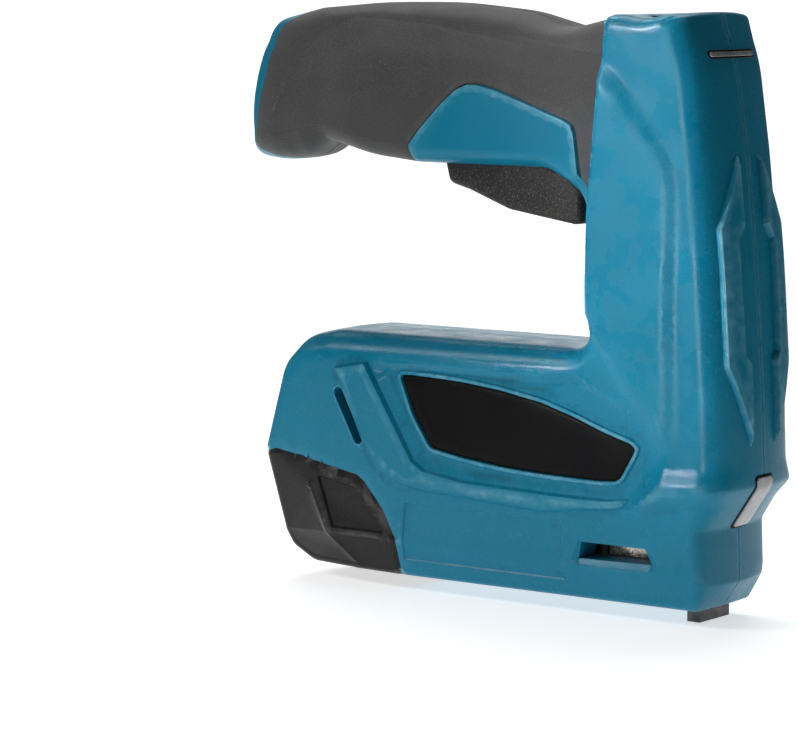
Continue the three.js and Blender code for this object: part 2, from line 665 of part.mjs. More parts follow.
// From the cell past the trigger switch, down the column and back over the motor to the board.
const leadRoute = (beside, below, z) => [
  [CELL.front + 2, -2.5, z], [-84, -beside, 167], [-64, -beside, 166], [-46, -beside, 159.5],
  [-30, -beside, 152], [-19.5, -below, 142], [-19, -below, 120], [-21, -below, 96],
  [-32, -below, 78.6], [-56, -below, 76], [-86, -below, 75], [-95, -below, 67.5], [-99.8, -below, 62],
];

// Assembly

const tool = new THREE.Group();
tool.position.set(-REST_POINT.x, 0, -REST_POINT.z);

function add(parent, name, body, material, position = [0, 0, 0]) {
  const mesh = new THREE.Mesh(geometryOf(body), material());
  mesh.name = name;
  mesh.position.set(...position);
  parent.add(mesh);
}

function group() {
  const made = new THREE.Group();
  tool.add(made);
  return made;
}

function addShell() {
  const shell = group();
  for (const side of ['right', 'left']) {
    add(shell, `housing_${side}`, housing(side), teal);
    add(shell, `grip_${side}`, grip(side), rubber);
    add(shell, `badge_${side}`, badge(side), blackPlastic);
  }
  add(shell, 'indicator_lens', indicatorLens(), lens);
  add(shell, 'work_light_lens', workLightLens(), lens);
  add(shell, 'force_dial', forceDial(), blackPlastic, [DIAL.x, 0, 0]);
  SCREWS.forEach(([x, z], i) => {
    const y = screwSeat(x, z) - SCREW.length;
    add(shell, `housing_screw_${i + 1}`, screw(), darkSteel, [x, y + GAP, z]);
  });
}

function addTrigger() {
  const set = group();
  const { x, z, r } = TRIGGER_PIN;
  add(set, 'trigger', trigger(), greyPlastic);
  add(set, 'trigger_pin', rodAlong('y', [0, 0], r, -10.5, 10.5, 12), steel, [x, 0, z]);
  add(set, 'trigger_spring', spring(2.6, 0.4, 5, 136.3, 156), springSteel, [-76, 0, 0]);
  add(set, 'trigger_switch', triggerSwitch(), blackPlastic);
  const plunger = rodAlong('z', [0, 0], 1.5, 147.9, 156.4, 10);
  add(set, 'switch_plunger', plunger, nylon, [SWITCH.x, 0, 0]);
}

function addDrive() {
  const drive = group();
  add(drive, 'lifting_gear', liftingGear(), steel, [LIFT_X, 0, AXLE_Z]);
  add(drive, 'lifting_axle', rodAlong('y', [0, 0], 2.5, -9.4, 18.2, 14), steel, [LIFT_X, 0, AXLE_Z]);
  add(drive, 'compound_gear', compoundGear(), nylon, [STAGE_X, 0, AXLE_Z]);
  add(drive, 'compound_axle', rodAlong('y', [0, 0], 2, -9.4, 18.2, 14), steel, [STAGE_X, 0, AXLE_Z]);
  add(drive, 'motor_pinion', motorPinion(), steel, [MOTOR_X, 0, AXLE_Z]);
  add(drive, 'motor_can', motorCan(), nickel, [MOTOR_X, 0, AXLE_Z]);
  add(drive, 'motor_cap', motorCap(), blackPlastic, [MOTOR_X, 0, AXLE_Z]);
  add(drive, 'motor_plate', motorPlate(), steel);
  add(drive, 'gearbox_plate_left', gearboxPlate(16, 17.4), steel);
  add(drive, 'gearbox_plate_right', gearboxPlate(-8.4, -7), steel);
}

function addStriker() {
  const striker = group();
  add(striker, 'striker_carriage', strikerCarriage(), nylon);
  add(striker, 'driver_blade', driverBlade(), steel);
  add(striker, 'blade_pin', bladePin(), steel);
  const coil = spring(6.6, 1, 12, CARRIAGE.high + GAP, SPRING_TOP);
  add(striker, 'striker_spring', coil, springSteel, [SPRING_X, 0, 0]);
  add(striker, 'spring_seat', springSeat(), steel);
  add(striker, 'guide_rod', rodAlong('z', [0, 0], ROD_R, 24, 172, 16), steel, [SPRING_X, 0, 0]);
  add(striker, 'bumper', bumper(), rubber);
}

function addMagazine() {
  const magazine = group();
  add(magazine, 'magazine_grip', magazineGrip(), blackPlastic);
  add(magazine, 'magazine_latch', magazineLatch(), greyPlastic);
  add(magazine, 'staple_rail', stapleRail(), steel);
  add(magazine, 'staple_strip', stapleStrip(), nickel);
  add(magazine, 'pusher', pusher(), darkSteel);
  add(magazine, 'magazine_channel', magazineChannel(), darkSteel);
  const coil = spring(2.3, 0.35, 12, 0, 84, 6);
  const rodSpring = new THREE.Group();
  rodSpring.rotation.set(0, Math.PI / 2, 0);
  rodSpring.position.set(CHANNEL.rear + 6, 0, 12.6);
  magazine.add(rodSpring);
  add(rodSpring, 'pusher_spring', coil, springSteel);
  add(magazine, 'nose_front_plate', noseFrontPlate(), darkSteel);
  add(magazine, 'nose_contact', noseContact(), darkSteel);
  add(magazine, 'contact_spring', spring(1.4, 0.3, 5, 26.3, 38), springSteel, [2.7, 0, 0]);
}

function addElectrics() {
  const set = group();
  add(set, 'battery_cell', batteryCell(), cellWrap);
  add(set, 'battery_tab_front', block(CELL.front + GAP, CELL.front + 0.7, -4, 4, 163, 173), nickel);
  add(set, 'battery_tab_rear', block(CELL.rear - 0.7, CELL.rear - GAP, -4, 4, 163, 173), nickel);
  add(set, 'charge_socket', chargeSocket(), nickel);
  add(set, 'charge_board', block(-172.2, -161, -7, 7, 154.8, 156.2), board);
  add(set, 'control_board', block(-142, -100.6, -16, -14.4, 44, 72), board);
  add(set, 'indicator_board', block(-7.5, -6.1, -11, 11, 169.5, 176), board);
  add(set, 'work_light_board', block(2.2, 3.4, -3.6, 3.6, 43, 50), board);
  add(set, 'battery_lead_plus', solid(wire(leadRoute(7.2, 12, 170), 0.75)), redWire);
  add(set, 'battery_lead_minus', solid(wire(leadRoute(9.6, 14.4, 166.5), 0.75)), blackWire);
}

addShell();
addTrigger();
addDrive();
addStriker();
addMagazine();
addElectrics();

export default tool;
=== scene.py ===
"""Electric stapler: the moulded skins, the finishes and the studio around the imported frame."""
import functools
import math

import bmesh
import bpy
import numpy as np
from bpy.props import FloatProperty, FloatVectorProperty, IntProperty, PointerProperty
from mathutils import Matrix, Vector
from mathutils.geometry import delaunay_2d_cdt


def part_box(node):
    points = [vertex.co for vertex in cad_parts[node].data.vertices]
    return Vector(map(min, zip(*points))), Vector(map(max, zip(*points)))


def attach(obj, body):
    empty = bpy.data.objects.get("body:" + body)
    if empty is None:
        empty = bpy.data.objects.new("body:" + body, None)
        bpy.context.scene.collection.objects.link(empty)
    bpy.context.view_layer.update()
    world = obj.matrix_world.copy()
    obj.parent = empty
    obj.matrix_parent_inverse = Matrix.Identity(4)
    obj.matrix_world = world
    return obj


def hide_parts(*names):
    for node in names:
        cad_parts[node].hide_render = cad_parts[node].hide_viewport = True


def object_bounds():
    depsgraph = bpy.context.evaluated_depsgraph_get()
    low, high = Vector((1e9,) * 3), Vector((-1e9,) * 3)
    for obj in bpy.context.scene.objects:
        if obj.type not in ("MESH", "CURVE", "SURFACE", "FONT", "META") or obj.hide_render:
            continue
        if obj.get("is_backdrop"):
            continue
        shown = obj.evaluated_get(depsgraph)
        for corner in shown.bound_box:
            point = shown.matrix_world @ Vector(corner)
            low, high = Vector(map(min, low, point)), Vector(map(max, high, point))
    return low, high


bl_info = {
    "name": "Electric stapler",
    "version": (1, 0, 0),
    "blender": (4, 5, 0),
    "location": "View3D > Sidebar > Stapler",
    "description": "Builds the skins, trims and finishes of a cordless electric stapler",
    "category": "Add Mesh",
}

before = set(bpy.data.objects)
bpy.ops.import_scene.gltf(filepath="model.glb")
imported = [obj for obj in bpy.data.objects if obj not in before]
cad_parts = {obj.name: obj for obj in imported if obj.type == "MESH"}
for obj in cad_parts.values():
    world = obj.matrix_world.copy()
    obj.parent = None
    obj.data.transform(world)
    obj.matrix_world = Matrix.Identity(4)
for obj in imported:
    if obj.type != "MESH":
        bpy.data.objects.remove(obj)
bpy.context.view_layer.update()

# Every length below is in millimetres in the tool's own frame: the origin at the foot of the nose,
# x forwards, y across, z up. The driver blade gives the place of that frame.
MM = 0.001
BLADE_BACK = 2.9
BLADE_FOOT = 0.5
blade_low, blade_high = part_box("driver_blade")
ORIGIN = np.array([blade_low.x + BLADE_BACK * MM, 0.0, blade_low.z - BLADE_FOOT * MM])

# ---------------------------------------------------------------------------------------------
# Outlines. A rim corner is: outer x, z, radius, inner x, z, radius, crown share, reach across.
# ---------------------------------------------------------------------------------------------
BODY_RIM = [
    (0.2, 185.3, 2.5, -8.2, 180.8, 3.0, 0.30, 5.0),
    (5.7, 170.5, 60, -3.6, 170.5, 60, 0.34, 6.5),
    (9.9, 143.3, 200, 0.0, 143.3, 200, 0.36, 6.5),
    (13.4, 110.8, 200, 3.4, 110.8, 200, 0.36, 6.5),
    (16.3, 70.0, 200, 6.3, 70.0, 200, 0.36, 6.5),
    (17.3, 42.5, 2.5, 7.4, 41.8, 2.5, 0.36, 6.5),
    (8.4, 29.2, 2.5, 1.8, 30.2, 2.5, 0.42, 4.0),
    (8.9, 12.2, 1.5, 3.0, 12.8, 1.5, 0.42, 3.0),
    (2.9, 3.8, 1.5, 0.4, 6.6, 1.5, 0.1, 2.5),
    (-108.5, 3.8, 0, -108.5, 5.6, 0, 0.0, 2.0),
    (-147.5, 3.8, 6, -146.3, 6.4, 5, 0.0, 3.0),
    (-155.6, 8.3, 4, -152.8, 10.2, 3, 0.1, 3.5),
    (-157.6, 14.0, 20, -154.2, 15.0, 17, 0.15, 4.0),
    (-162.6, 40.6, 0, -159.0, 40.9, 0, 0.15, 4.0),
    (-158.2, 56.9, 60, -153.6, 57.0, 60, 0.12, 6.0),
    (-154.9, 70.0, 14, -149.2, 67.4, 10, 0.10, 7.0),
    (-146.0, 79.5, 14, -142.2, 73.4, 9, 0.10, 8.0),
    (-135.7, 82.2, 30, -134.4, 74.2, 25, 0.10, 9.0),
    (-33.8, 82.2, 8, -30.2, 74.6, 13, 0.10, 7.0),
    (-34.7, 100.0, 200, -31.2, 100.0, 200, 0.1, 3.5),
    (-34.2, 125.0, 200, -31.0, 125.0, 200, 0.1, 3.5),
    (-31.0, 159.0, 200, -27.9, 159.0, 200, 0.1, 3.5),
    (-29.3, 184.3, 2.5, -26.1, 180.3, 2.5, 0.1, 4.0),
    (-24.0, 184.6, 20, -22.8, 180.4, 20, 0.0, 4.5),
    (-18.0, 183.5, 15, -18.0, 179.7, 15, 0.0, 4.5),
    (-13.0, 183.5, 15, -13.2, 179.7, 15, 0.0, 4.5),
    (-6.0, 185.1, 10, -10.3, 180.6, 8, 0.1, 4.5),
]
BODY_MAGAZINE_MARKS = (9, 13)

HANDLE_RIM = [
    (-20.0, 183.8, 0, -20.0, 177.5, 0, 0.1, 12.0),
    (-20.0, 96.0, 0, -23.0, 96.0, 0, 0.1, 4.0),
    (-31.0, 96.0, 0, -27.5, 97.5, 0, 0.1, 4.0),
    (-38.6, 119.4, 0, -34.8, 121.5, 0, 0.1, 5.0),
    (-43.5, 130.5, 16, -39.4, 135.0, 16, 0.1, 6.0),
    (-56.0, 136.6, 12, -54.5, 142.0, 12, 0.1, 6.0),
    (-106.6, 136.7, 0, -107.3, 142.2, 0, 0.1, 6.0),
    (-124.0, 138.3, 60, -123.3, 144.3, 60, 0.1, 7.0),
    (-143.3, 142.6, 1.5, -142.6, 149.5, 6, 0.1, 8.0),
    (-151.5, 137.3, 12, -151.6, 145.6, 6, 0.1, 10.0),
    (-160.0, 135.6, 40, -158.4, 142.6, 6, 0.1, 12.0),
    (-174.2, 136.4, 5.5, -161.0, 145.0, 5, 0.0, 15.5),
    (-177.0, 151.5, 60, -159.4, 151.5, 60, 0.0, 16.8),
    (-174.4, 168.1, 60, -153.6, 163.8, 30, 0.0, 16.8),
    (-167.4, 181.6, 9, -142.0, 176.0, 30, 0.0, 16.5),
    (-148.0, 185.7, 0, -130.8, 181.6, 0, 0.05, 15.5),
    (-122.0, 187.6, 200, -121.0, 182.8, 60, 0.12, 13.0),
    (-97.0, 187.7, 200, -96.0, 180.9, 200, 0.12, 13.0),
    (-70.0, 185.1, 60, -70.0, 177.2, 200, 0.12, 12.0),
    (-50.3, 179.6, 20, -50.3, 173.6, 60, 0.12, 10.0),
    (-32.0, 183.8, 20, -32.0, 176.5, 60, 0.12, 10.0),
]
HANDLE_ACCENT_MARKS = (3, 6)
HANDLE_CRESCENT_MARKS = (10, 15)

COLUMN_FIELD = [
    (-33.7, 90.3), (-32.3, 85.3), (-29.4, 82.0), (-27.1, 79.0), (-23.3, 73.0), (-17.7, 66.4), (-12.2, 61.4),
    (-7.9, 57.8), (-6.5, 53.7), (-8.7, 47.6), (-12.3, 42.2), (-17.4, 37.6), (-24.0, 32.6), (-12.2, 33.6),
    (5.9, 36.5), (40.0, 40.0), (40.0, 200.0), (-60.0, 200.0), (-60.0, 95.0),
]
FRONT_FIELD = [
    (-40.0, 164.5), (-28.2, 163.2), (-23.8, 159.6), (-19.1, 154.4), (-13.7, 148.2), (-9.5, 142.6),
    (-6.7, 137.5), (-5.8, 132.0), (-5.5, 121.3), (-6.2, 99.4), (-5.6, 69.2), (-5.7, 56.4), (-8.2, 46.0),
    (-11.0, 40.0),
    (60.0, 40.0), (60.0, 230.0), (-40.0, 230.0),
]
BADGE_RING = [
    (-116.4, 72.9), (-99.6, 42.7), (-95.5, 40.0), (-80.0, 37.8), (-50.1, 36.9), (-27.1, 36.7), (-17.2, 37.6),
    (-12.3, 42.2), (-8.7, 47.6), (-6.5, 53.7), (-7.9, 57.8), (-12.5, 61.7), (-19.9, 66.2), (-27.4, 69.6),
    (-36.8, 74.6), (-50.3, 73.4), (-69.6, 73.6), (-92.1, 73.8),
]
BADGE_OUTLINE = [
    (-104.9, 68.6), (-104.3, 69.7), (-101.2, 69.9), (-92.1, 69.6), (-80.0, 69.0), (-65.4, 67.4),
    (-50.3, 64.8),
    (-38.0, 61.2), (-27.3, 57.4), (-17.5, 54.6), (-15.8, 53.2), (-16.0, 52.0), (-20.8, 43.9), (-23.0, 42.4),
    (-29.0, 41.9), (-50.1, 42.3), (-65.3, 43.1), (-80.7, 44.8), (-92.3, 46.7), (-94.0, 48.0), (-100.2, 57.2),
]
STRIP_OUTLINE = [
    (-130.3, 70.8), (-117.4, 73.3), (-99.6, 42.7), (-95.5, 40.0), (-80.0, 37.8), (-50.1, 36.9), (-27.1, 36.7),
    (-17.2, 37.6), (-21.0, 33.9), (-50.1, 30.3), (-99.5, 33.0), (-107.1, 34.8), (-113.3, 38.6),
    (-119.5, 46.8),
]
SLOT_ENDS = ((-129.3, 62.3), (-121.8, 47.7))
SLOT_RADIUS = 1.75
WINDOW_SILL = [(-38.9, 15.0), (-10.0, 15.2), (-8.6, 17.6), (-12.0, 23.6), (-36.8, 23.6), (-39.9, 16.6)]
WINDOW = [(-36.3, 22.4), (-13.2, 22.4), (-10.9, 17.5), (-37.8, 17.0)]
COVER_PANEL = [(-104.0, 28.4), (-44.6, 28.4), (-43.5, 27.4), (-43.5, 9.4), (-106.0, 9.4)]
CHAMFER_TOP = 15.5
CHAMFER_FOOT = 5.3
MAGAZINE_BORDER = [
    (-159.0, 40.9), (-156.6, 41.7), (-146.2, 40.1), (-133.5, 37.6), (-123.4, 35.8), (-120.4, 33.8),
    (-113.3, 25.3), (-108.5, 16.0), (-108.5, 5.6),
]
MAGAZINE_FACETS = {
    "top": (-159.0, 40.9, 21.6), "knee": (-133.5, 37.6, 22.0), "shoulder": (-120.4, 33.8, 22.0),
    "side": (-108.5, 16.0, 22.0), "foot": (-108.5, 5.6, 18.7), "peak": (-141.8, 30.0, 22.1),
    "bend": (-135.0, 16.2, 23.2), "toe": (-126.2, 6.2, 18.0), "rear": (-154.2, 15.0, 18.6),
    "heel": (-146.3, 6.4, 15.0), "back": (-152.8, 10.2, 16.4),
}
FACET_FACES = [
    ("top", "knee", "peak"), ("top", "peak", "rear"), ("peak", "bend", "rear"), ("rear", "bend", "toe"),
    ("rear", "toe", "back"), ("back", "toe", "heel"), ("peak", "knee", "shoulder"),
    ("peak", "shoulder", "side"), ("peak", "side", "bend"), ("bend", "side", "toe"), ("toe", "side", "foot"),
]
FACET_LINES = [
    ("peak", "bend", "toe"), ("rear", "bend", "side"), ("peak", "rear"),
]
FACET_RIDGE = [(-141.8, 30.0), (-135.0, 16.2), (-126.2, 6.2)]
MAGAZINE_PANEL = [
    (-139.5, 34.4), (-133.9, 33.4), (-125.4, 32.0), (-122.8, 30.4), (-116.2, 23.0), (-112.2, 17.4),
    (-133.2, 17.6),
]
ACCENT = [
    (-106.6, 136.0), (-107.9, 139.0), (-107.3, 142.0), (-102.2, 148.0), (-94.3, 155.7), (-88.5, 160.6),
    (-84.3, 162.2), (-79.6, 162.2), (-73.1, 160.8), (-61.8, 157.0), (-47.0, 152.1), (-44.3, 150.6),
    (-43.0, 147.6), (-41.8, 138.4), (-40.3, 130.6), (-34.8, 121.5), (-38.6, 119.0), (-60.0, 130.0),
]
RIDGE_FIELD = [
    (-161.0, 143.0), (-160.3, 147.4), (-159.2, 150.9), (-155.8, 159.1), (-149.8, 168.5), (-140.9, 176.1),
    (-130.0, 181.4), (-122.8, 182.5), (-110.7, 182.2), (-94.6, 180.5), (-80.7, 178.3), (-62.5, 175.4),
    (-30.0, 172.6), (0.0, 172.6), (0.0, 90.0), (-100.0, 100.0), (-152.0, 128.0), (-160.0, 136.0),
]
PANEL_FIELD = [
    (-146.0, 148.0), (-144.7, 155.9), (-141.7, 163.5), (-135.9, 168.2), (-130.0, 171.4), (-122.8, 172.2),
    (-110.7, 172.0), (-94.5, 170.5), (-80.7, 168.8), (-62.5, 165.8), (-30.0, 161.0), (0.0, 161.0),
    (0.0, 90.0), (-100.0, 100.0), (-141.0, 128.0), (-144.0, 142.0),
]
RIB = [
    (5.9, 142.7), (17.4, 121.0), (17.4, 79.4), (6.9, 54.9), (6.6, 80.2), (9.0, 83.0), (9.4, 116.9),
    (6.0, 121.3),
]
TRIGGER_OUTLINE = [
    (-97.6, 138.5, 1), (-95.6, 130.6, 3), (-88.0, 128.6, 6), (-72.6, 122.9, 12), (-48.0, 119.2, 2.5),
    (-44.8, 119.6, 1.2), (-44.8, 130.1, 2), (-49.0, 134.5, 4), (-60.0, 138.5, 3),
]
SCREW_WELLS = [(-135.0, 148.0), (-48.0, 168.0), (-26.3, 134.0), (-149.0, 60.0)]
WELL_RADIUS = 3.1
WELL_DEPTH = 3.6
PORT_HEIGHT = 158.1

# Distances from the middle plane, and steps in the flanks.
BASE_HALF = 22.0
COLUMN_HALF = 23.9
GRIP_HALF = 17.2
GRIP_FALL = 3.8
RING_HALF = 20.4
BADGE_HALF = 20.05
BADGE_FOOT = 19.3
TRIGGER_HALF = 8.4
DRAFT = 2.2
DRAFT_TOP = 72.0
DRAFT_HEIGHT = 56.0
FRONT_STEP = 2.0
FRONT_SLOPE = 5.4
STRIP_HEIGHT = 1.1
WINDOW_FLOOR = 9.6
SHELL_FLOOR = 9.0
MAGAZINE_FLOOR = 7.9
RAIL_TOP = 23.4
BAR_FOOT = 171.8
BAR_TOP = 173.6
WORK_LIGHT_TOP = 45.4


# ---------------------------------------------------------------------------------------------
# Plane geometry
# ---------------------------------------------------------------------------------------------
def to_metres(points):
    """Tool millimetres to frame metres."""
    return np.asarray(points, float) * MM + ORIGIN


def segments_of(line, closed=True):
    """Start and end points of a line's segments."""
    line = np.asarray(line, float)
    if closed:
        return line, np.roll(line, -1, axis=0)
    return line[:-1], line[1:]


def distance(line, points, closed=True):
    """Shortest distance from each point to a line."""
    points = np.asarray(points, float)
    best = np.full(len(points), 1e9)
    for a, b in zip(*segments_of(line, closed)):
        span = b - a
        along = np.clip(((points - a) @ span) / max(span @ span, 1e-12), 0, 1)
        gap = points - a - along[:, None] * span
        best = np.minimum(best, np.hypot(gap[:, 0], gap[:, 1]))
    return best


def inside(outline, points):
    """True for each point that lies in a closed outline."""
    points = np.asarray(points, float)
    x, z = points[:, 0], points[:, 1]
    found = np.zeros(len(points), bool)
    for (xa, za), (xb, zb) in zip(*segments_of(outline)):
        crosses = (za > z) != (zb > z)
        if crosses.any():
            where = xa + (z - za) * (xb - xa) / ((zb - za) or 1e-12)
            found ^= crosses & (x < where)
    return found


def depth_in(outline, points):
    """Distance to the outline, positive inside it."""
    gap = distance(outline, points)
    return np.where(inside(outline, points), gap, -gap)


def ramp(value):
    return np.clip(value, 0.0, 1.0)


def ease(value):
    value = ramp(value)
    return value * value * (3 - 2 * value)


def area_of(outline):
    a, b = segments_of(outline)
    return 0.5 * float(np.sum(a[:, 0] * b[:, 1] - b[:, 0] * a[:, 1]))


def moved_in(outline, inset):
    """The outline moved inwards by a distance, corners mitred."""
    outline = np.asarray(outline, float)
    turn = 1.0 if area_of(outline) > 0 else -1.0
    before = outline - np.roll(outline, 1, axis=0)
    after = np.roll(outline, -1, axis=0) - outline
    result = []
    for point, first, second in zip(outline, before, after):
        first = first / np.linalg.norm(first)
        second = second / np.linalg.norm(second)
        side_a = np.array([-first[1], first[0]]) * turn
        side_b = np.array([-second[1], second[0]]) * turn
        middle = side_a + side_b
        stretch = max(float(middle @ side_a), 0.35)
        result.append(point + middle * inset / stretch)
    return np.array(result)


def resampled(line, pitch, closed=True):
    """Points along a line, no further apart than the pitch."""
    result = []
    starts, ends = segments_of(line, closed)
    for a, b in zip(starts, ends):
        steps = max(1, int(math.ceil(np.linalg.norm(b - a) / pitch)))
        result += [a + (b - a) * k / steps for k in range(steps)]
    if not closed:
        result.append(np.asarray(line[-1], float))
    return np.array(result)


def corner_arc(before, here, after, radius, steps):
    """Points round a corner, from the side of the point before it."""
    before, here, after = (np.asarray(p, float) for p in (before, here, after))
    if radius == 0:
        return [here]
    to_a, to_b = before - here, after - here
    size_a, size_b = np.linalg.norm(to_a), np.linalg.norm(to_b)
    to_a, to_b = to_a / size_a, to_b / size_b
    angle = math.acos(max(-1.0, min(1.0, float(to_a @ to_b))))
    if angle > math.pi - 1e-3:
        return [here + to_a * 0.2 * (1 - 2 * k / (steps - 1)) for k in range(steps)]
    tangent = min(radius / math.tan(angle / 2), 0.46 * size_a, 0.46 * size_b)
    start, end = here + to_a * tangent, here + to_b * tangent
    middle = to_a + to_b
    centre = here + middle / np.linalg.norm(middle) * tangent / math.cos(angle / 2)
    first, last = start - centre, end - centre
    sweep = math.pi - angle
    points = []
    for k in range(steps):
        t = k / (steps - 1)
        weight_a = math.sin((1 - t) * sweep) / math.sin(sweep)
        weight_b = math.sin(t * sweep) / math.sin(sweep)
        points.append(centre + weight_a * first + weight_b * last)
    return points


class Rim:
    """The rounded strip from the middle seam round to the flank, sampled along the outline."""

    def __init__(self, corners, pitch, steps=7):
        outer, inner, crown, reach, self.marks = [], [], [], [], []
        arcs = []
        for k, here in enumerate(corners):
            before, after = corners[k - 1], corners[(k + 1) % len(corners)]
            arcs.append((corner_arc(before[:2], here[:2], after[:2], here[2], steps),
                         corner_arc(before[3:5], here[3:5], after[3:5], here[5] if here[2] else 0, steps)))
        for k, here in enumerate(corners):
            after = corners[(k + 1) % len(corners)]
            self.marks.append(len(outer))
            outer += arcs[k][0]
            inner += arcs[k][1]
            crown += [here[6]] * len(arcs[k][0])
            reach += [here[7]] * len(arcs[k][0])
            start_o, start_i = arcs[k][0][-1], arcs[k][1][-1]
            end_o, end_i = arcs[(k + 1) % len(corners)][0][0], arcs[(k + 1) % len(corners)][1][0]
            steps_here = max(1, int(math.ceil(np.linalg.norm(end_o - start_o) / pitch)))
            for s in range(1, steps_here):
                t = s / steps_here
                outer.append(start_o + (end_o - start_o) * t)
                inner.append(start_i + (end_i - start_i) * t)
                crown.append(here[6] + (after[6] - here[6]) * t)
                reach.append(here[7] + (after[7] - here[7]) * t)
        self.outer, self.inner = np.array(outer), np.array(inner)
        self.crown, self.reach = np.array(crown), np.array(reach)
        self.width = np.linalg.norm(self.inner - self.outer, axis=1)
        self.top = None

    def drop(self, y):
        """How far the surface has come in from the outer line at a distance y from the seam."""
        start = self.top - self.reach
        over = np.clip((y - start) / self.reach, 0, 1)
        round_part = (1 - self.crown) * (1 - np.sqrt(np.maximum(1 - over * over, 0)))
        return self.width * (self.crown * (y / self.top) ** 2 + round_part)

    def rows(self, flat_rows, round_rows, split, groove):
        """Rows of points from the seam to the inner line."""
        start = np.where(split > 0, split, self.top - self.reach)
        lip = 0.32
        levels = [np.full(len(start), 0.06), np.full(len(start), lip)]
        levels += [lip + (start - lip) * k / flat_rows for k in range(1, flat_rows + 1)]
        for k in range(1, round_rows + 1):
            levels.append(start + (self.top - start) * math.sin(math.pi / 2 * k / round_rows))
        rows = []
        for k, y in enumerate(levels):
            inset = self.drop(y) + (groove if k == 0 else 0)
            share = (inset / self.width)[:, None]
            flat = self.outer + (self.inner - self.outer) * share
            rows.append(np.column_stack([flat[:, 0], y, flat[:, 1]]))
        return np.array(rows)

    def along(self):
        """Length along the outer line at each sample."""
        gaps = np.linalg.norm(np.diff(self.outer, axis=0), axis=1)
        return np.concatenate([[0], np.cumsum(gaps)])

    def surface(self, place, y, lift, facing=1.0):
        """Points on the rim at lengths along it and distances from the seam, raised by a lift."""
        length = self.along()

        def pick(values, at):
            return np.interp(at, length, values)

        def point(at, across):
            top, reach = pick(self.top, at), pick(self.reach, at)
            crown, width = pick(self.crown, at), pick(self.width, at)
            over = np.clip((np.abs(across) - (top - reach)) / reach, 0, 1)
            come_in = width * (crown * (across / top) ** 2 + (1 - crown) * (1 - np.sqrt(1 - over * over)))
            outer = np.column_stack([pick(self.outer[:, 0], at), pick(self.outer[:, 1], at)])
            inner = np.column_stack([pick(self.inner[:, 0], at), pick(self.inner[:, 1], at)])
            flat = outer + (inner - outer) * (come_in / width)[:, None]
            return np.column_stack([flat[:, 0], across, flat[:, 1]])

        here = point(place, y)
        ahead = point(place + 0.6, y) - point(place - 0.6, y)
        aside = point(place, y + 0.3) - point(place, y - 0.3)
        normal = np.cross(aside, ahead)
        normal /= np.linalg.norm(normal, axis=1)[:, None]
        normal *= np.where(normal[:, 0] * facing < 0, -1.0, 1.0)[:, None]
        return here + normal * np.asarray(lift)[:, None]


def filled(loop, lines, spacing):
    """Triangles that fill a loop, with edges along the lines and a grid of points between them."""
    points, edges = [], []

    def add(line, closed):
        first = len(points)
        points.extend([(float(p[0]), float(p[1])) for p in line])
        count = len(line)
        last = count if closed else count - 1
        edges.extend([(first + k, first + (k + 1) % count) for k in range(last)])

    add(loop, True)
    for line, closed in lines:
        add(line, closed)
    low, high = np.min(loop, axis=0), np.max(loop, axis=0)
    rows = np.arange(low[1], high[1], spacing * 0.87)
    grid = []
    for k, z in enumerate(rows):
        shift = spacing / 2 if k % 2 else 0
        grid += [(x, z) for x in np.arange(low[0] + shift, high[0], spacing)]
    grid = np.array(grid)
    keep = inside(loop, grid) & (distance(loop, grid) > spacing * 0.5)
    for line, closed in lines:
        keep &= distance(line, grid, closed) > spacing * 0.4
    points.extend([(float(x), float(z)) for x, z in grid[keep]])
    result = delaunay_2d_cdt([Vector(p) for p in points], edges, [], 1, 1e-4, False)
    corners = np.array([list(v) for v in result[0]])
    faces = np.array([f for f in result[2] if len(f) == 3])
    centres = corners[faces].mean(axis=1)
    faces = faces[inside(loop, centres)]
    a, b, c = (corners[faces[:, k]] for k in range(3))
    turn = (b[:, 0] - a[:, 0]) * (c[:, 1] - a[:, 1]) - (c[:, 0] - a[:, 0]) * (b[:, 1] - a[:, 1])
    faces[turn < 0] = faces[turn < 0][:, ::-1]
    return corners, faces[np.abs(turn) > 0.004]


# ---------------------------------------------------------------------------------------------
# Relief of the flanks: distance from the middle plane at each place
# ---------------------------------------------------------------------------------------------
def facet_height(points):
    """Height of the folded planes on the magazine's end."""
    result = np.full(len(points), np.nan)
    nearest = np.full(len(points), 1e9)
    for names in FACET_FACES:
        a, b, c = (np.array(MAGAZINE_FACETS[n]) for n in names)
        matrix = np.array([b[:2] - a[:2], c[:2] - a[:2]]).T
        weights = np.linalg.solve(matrix, (points - a[:2]).T)
        first, second = weights
        outside = np.maximum.reduce([-first, -second, first + second - 1])
        value = a[2] + first * (b[2] - a[2]) + second * (c[2] - a[2])
        better = outside < nearest - 1e-6
        result = np.where(better, value, result)
        nearest = np.where(better, outside, nearest)
    return result


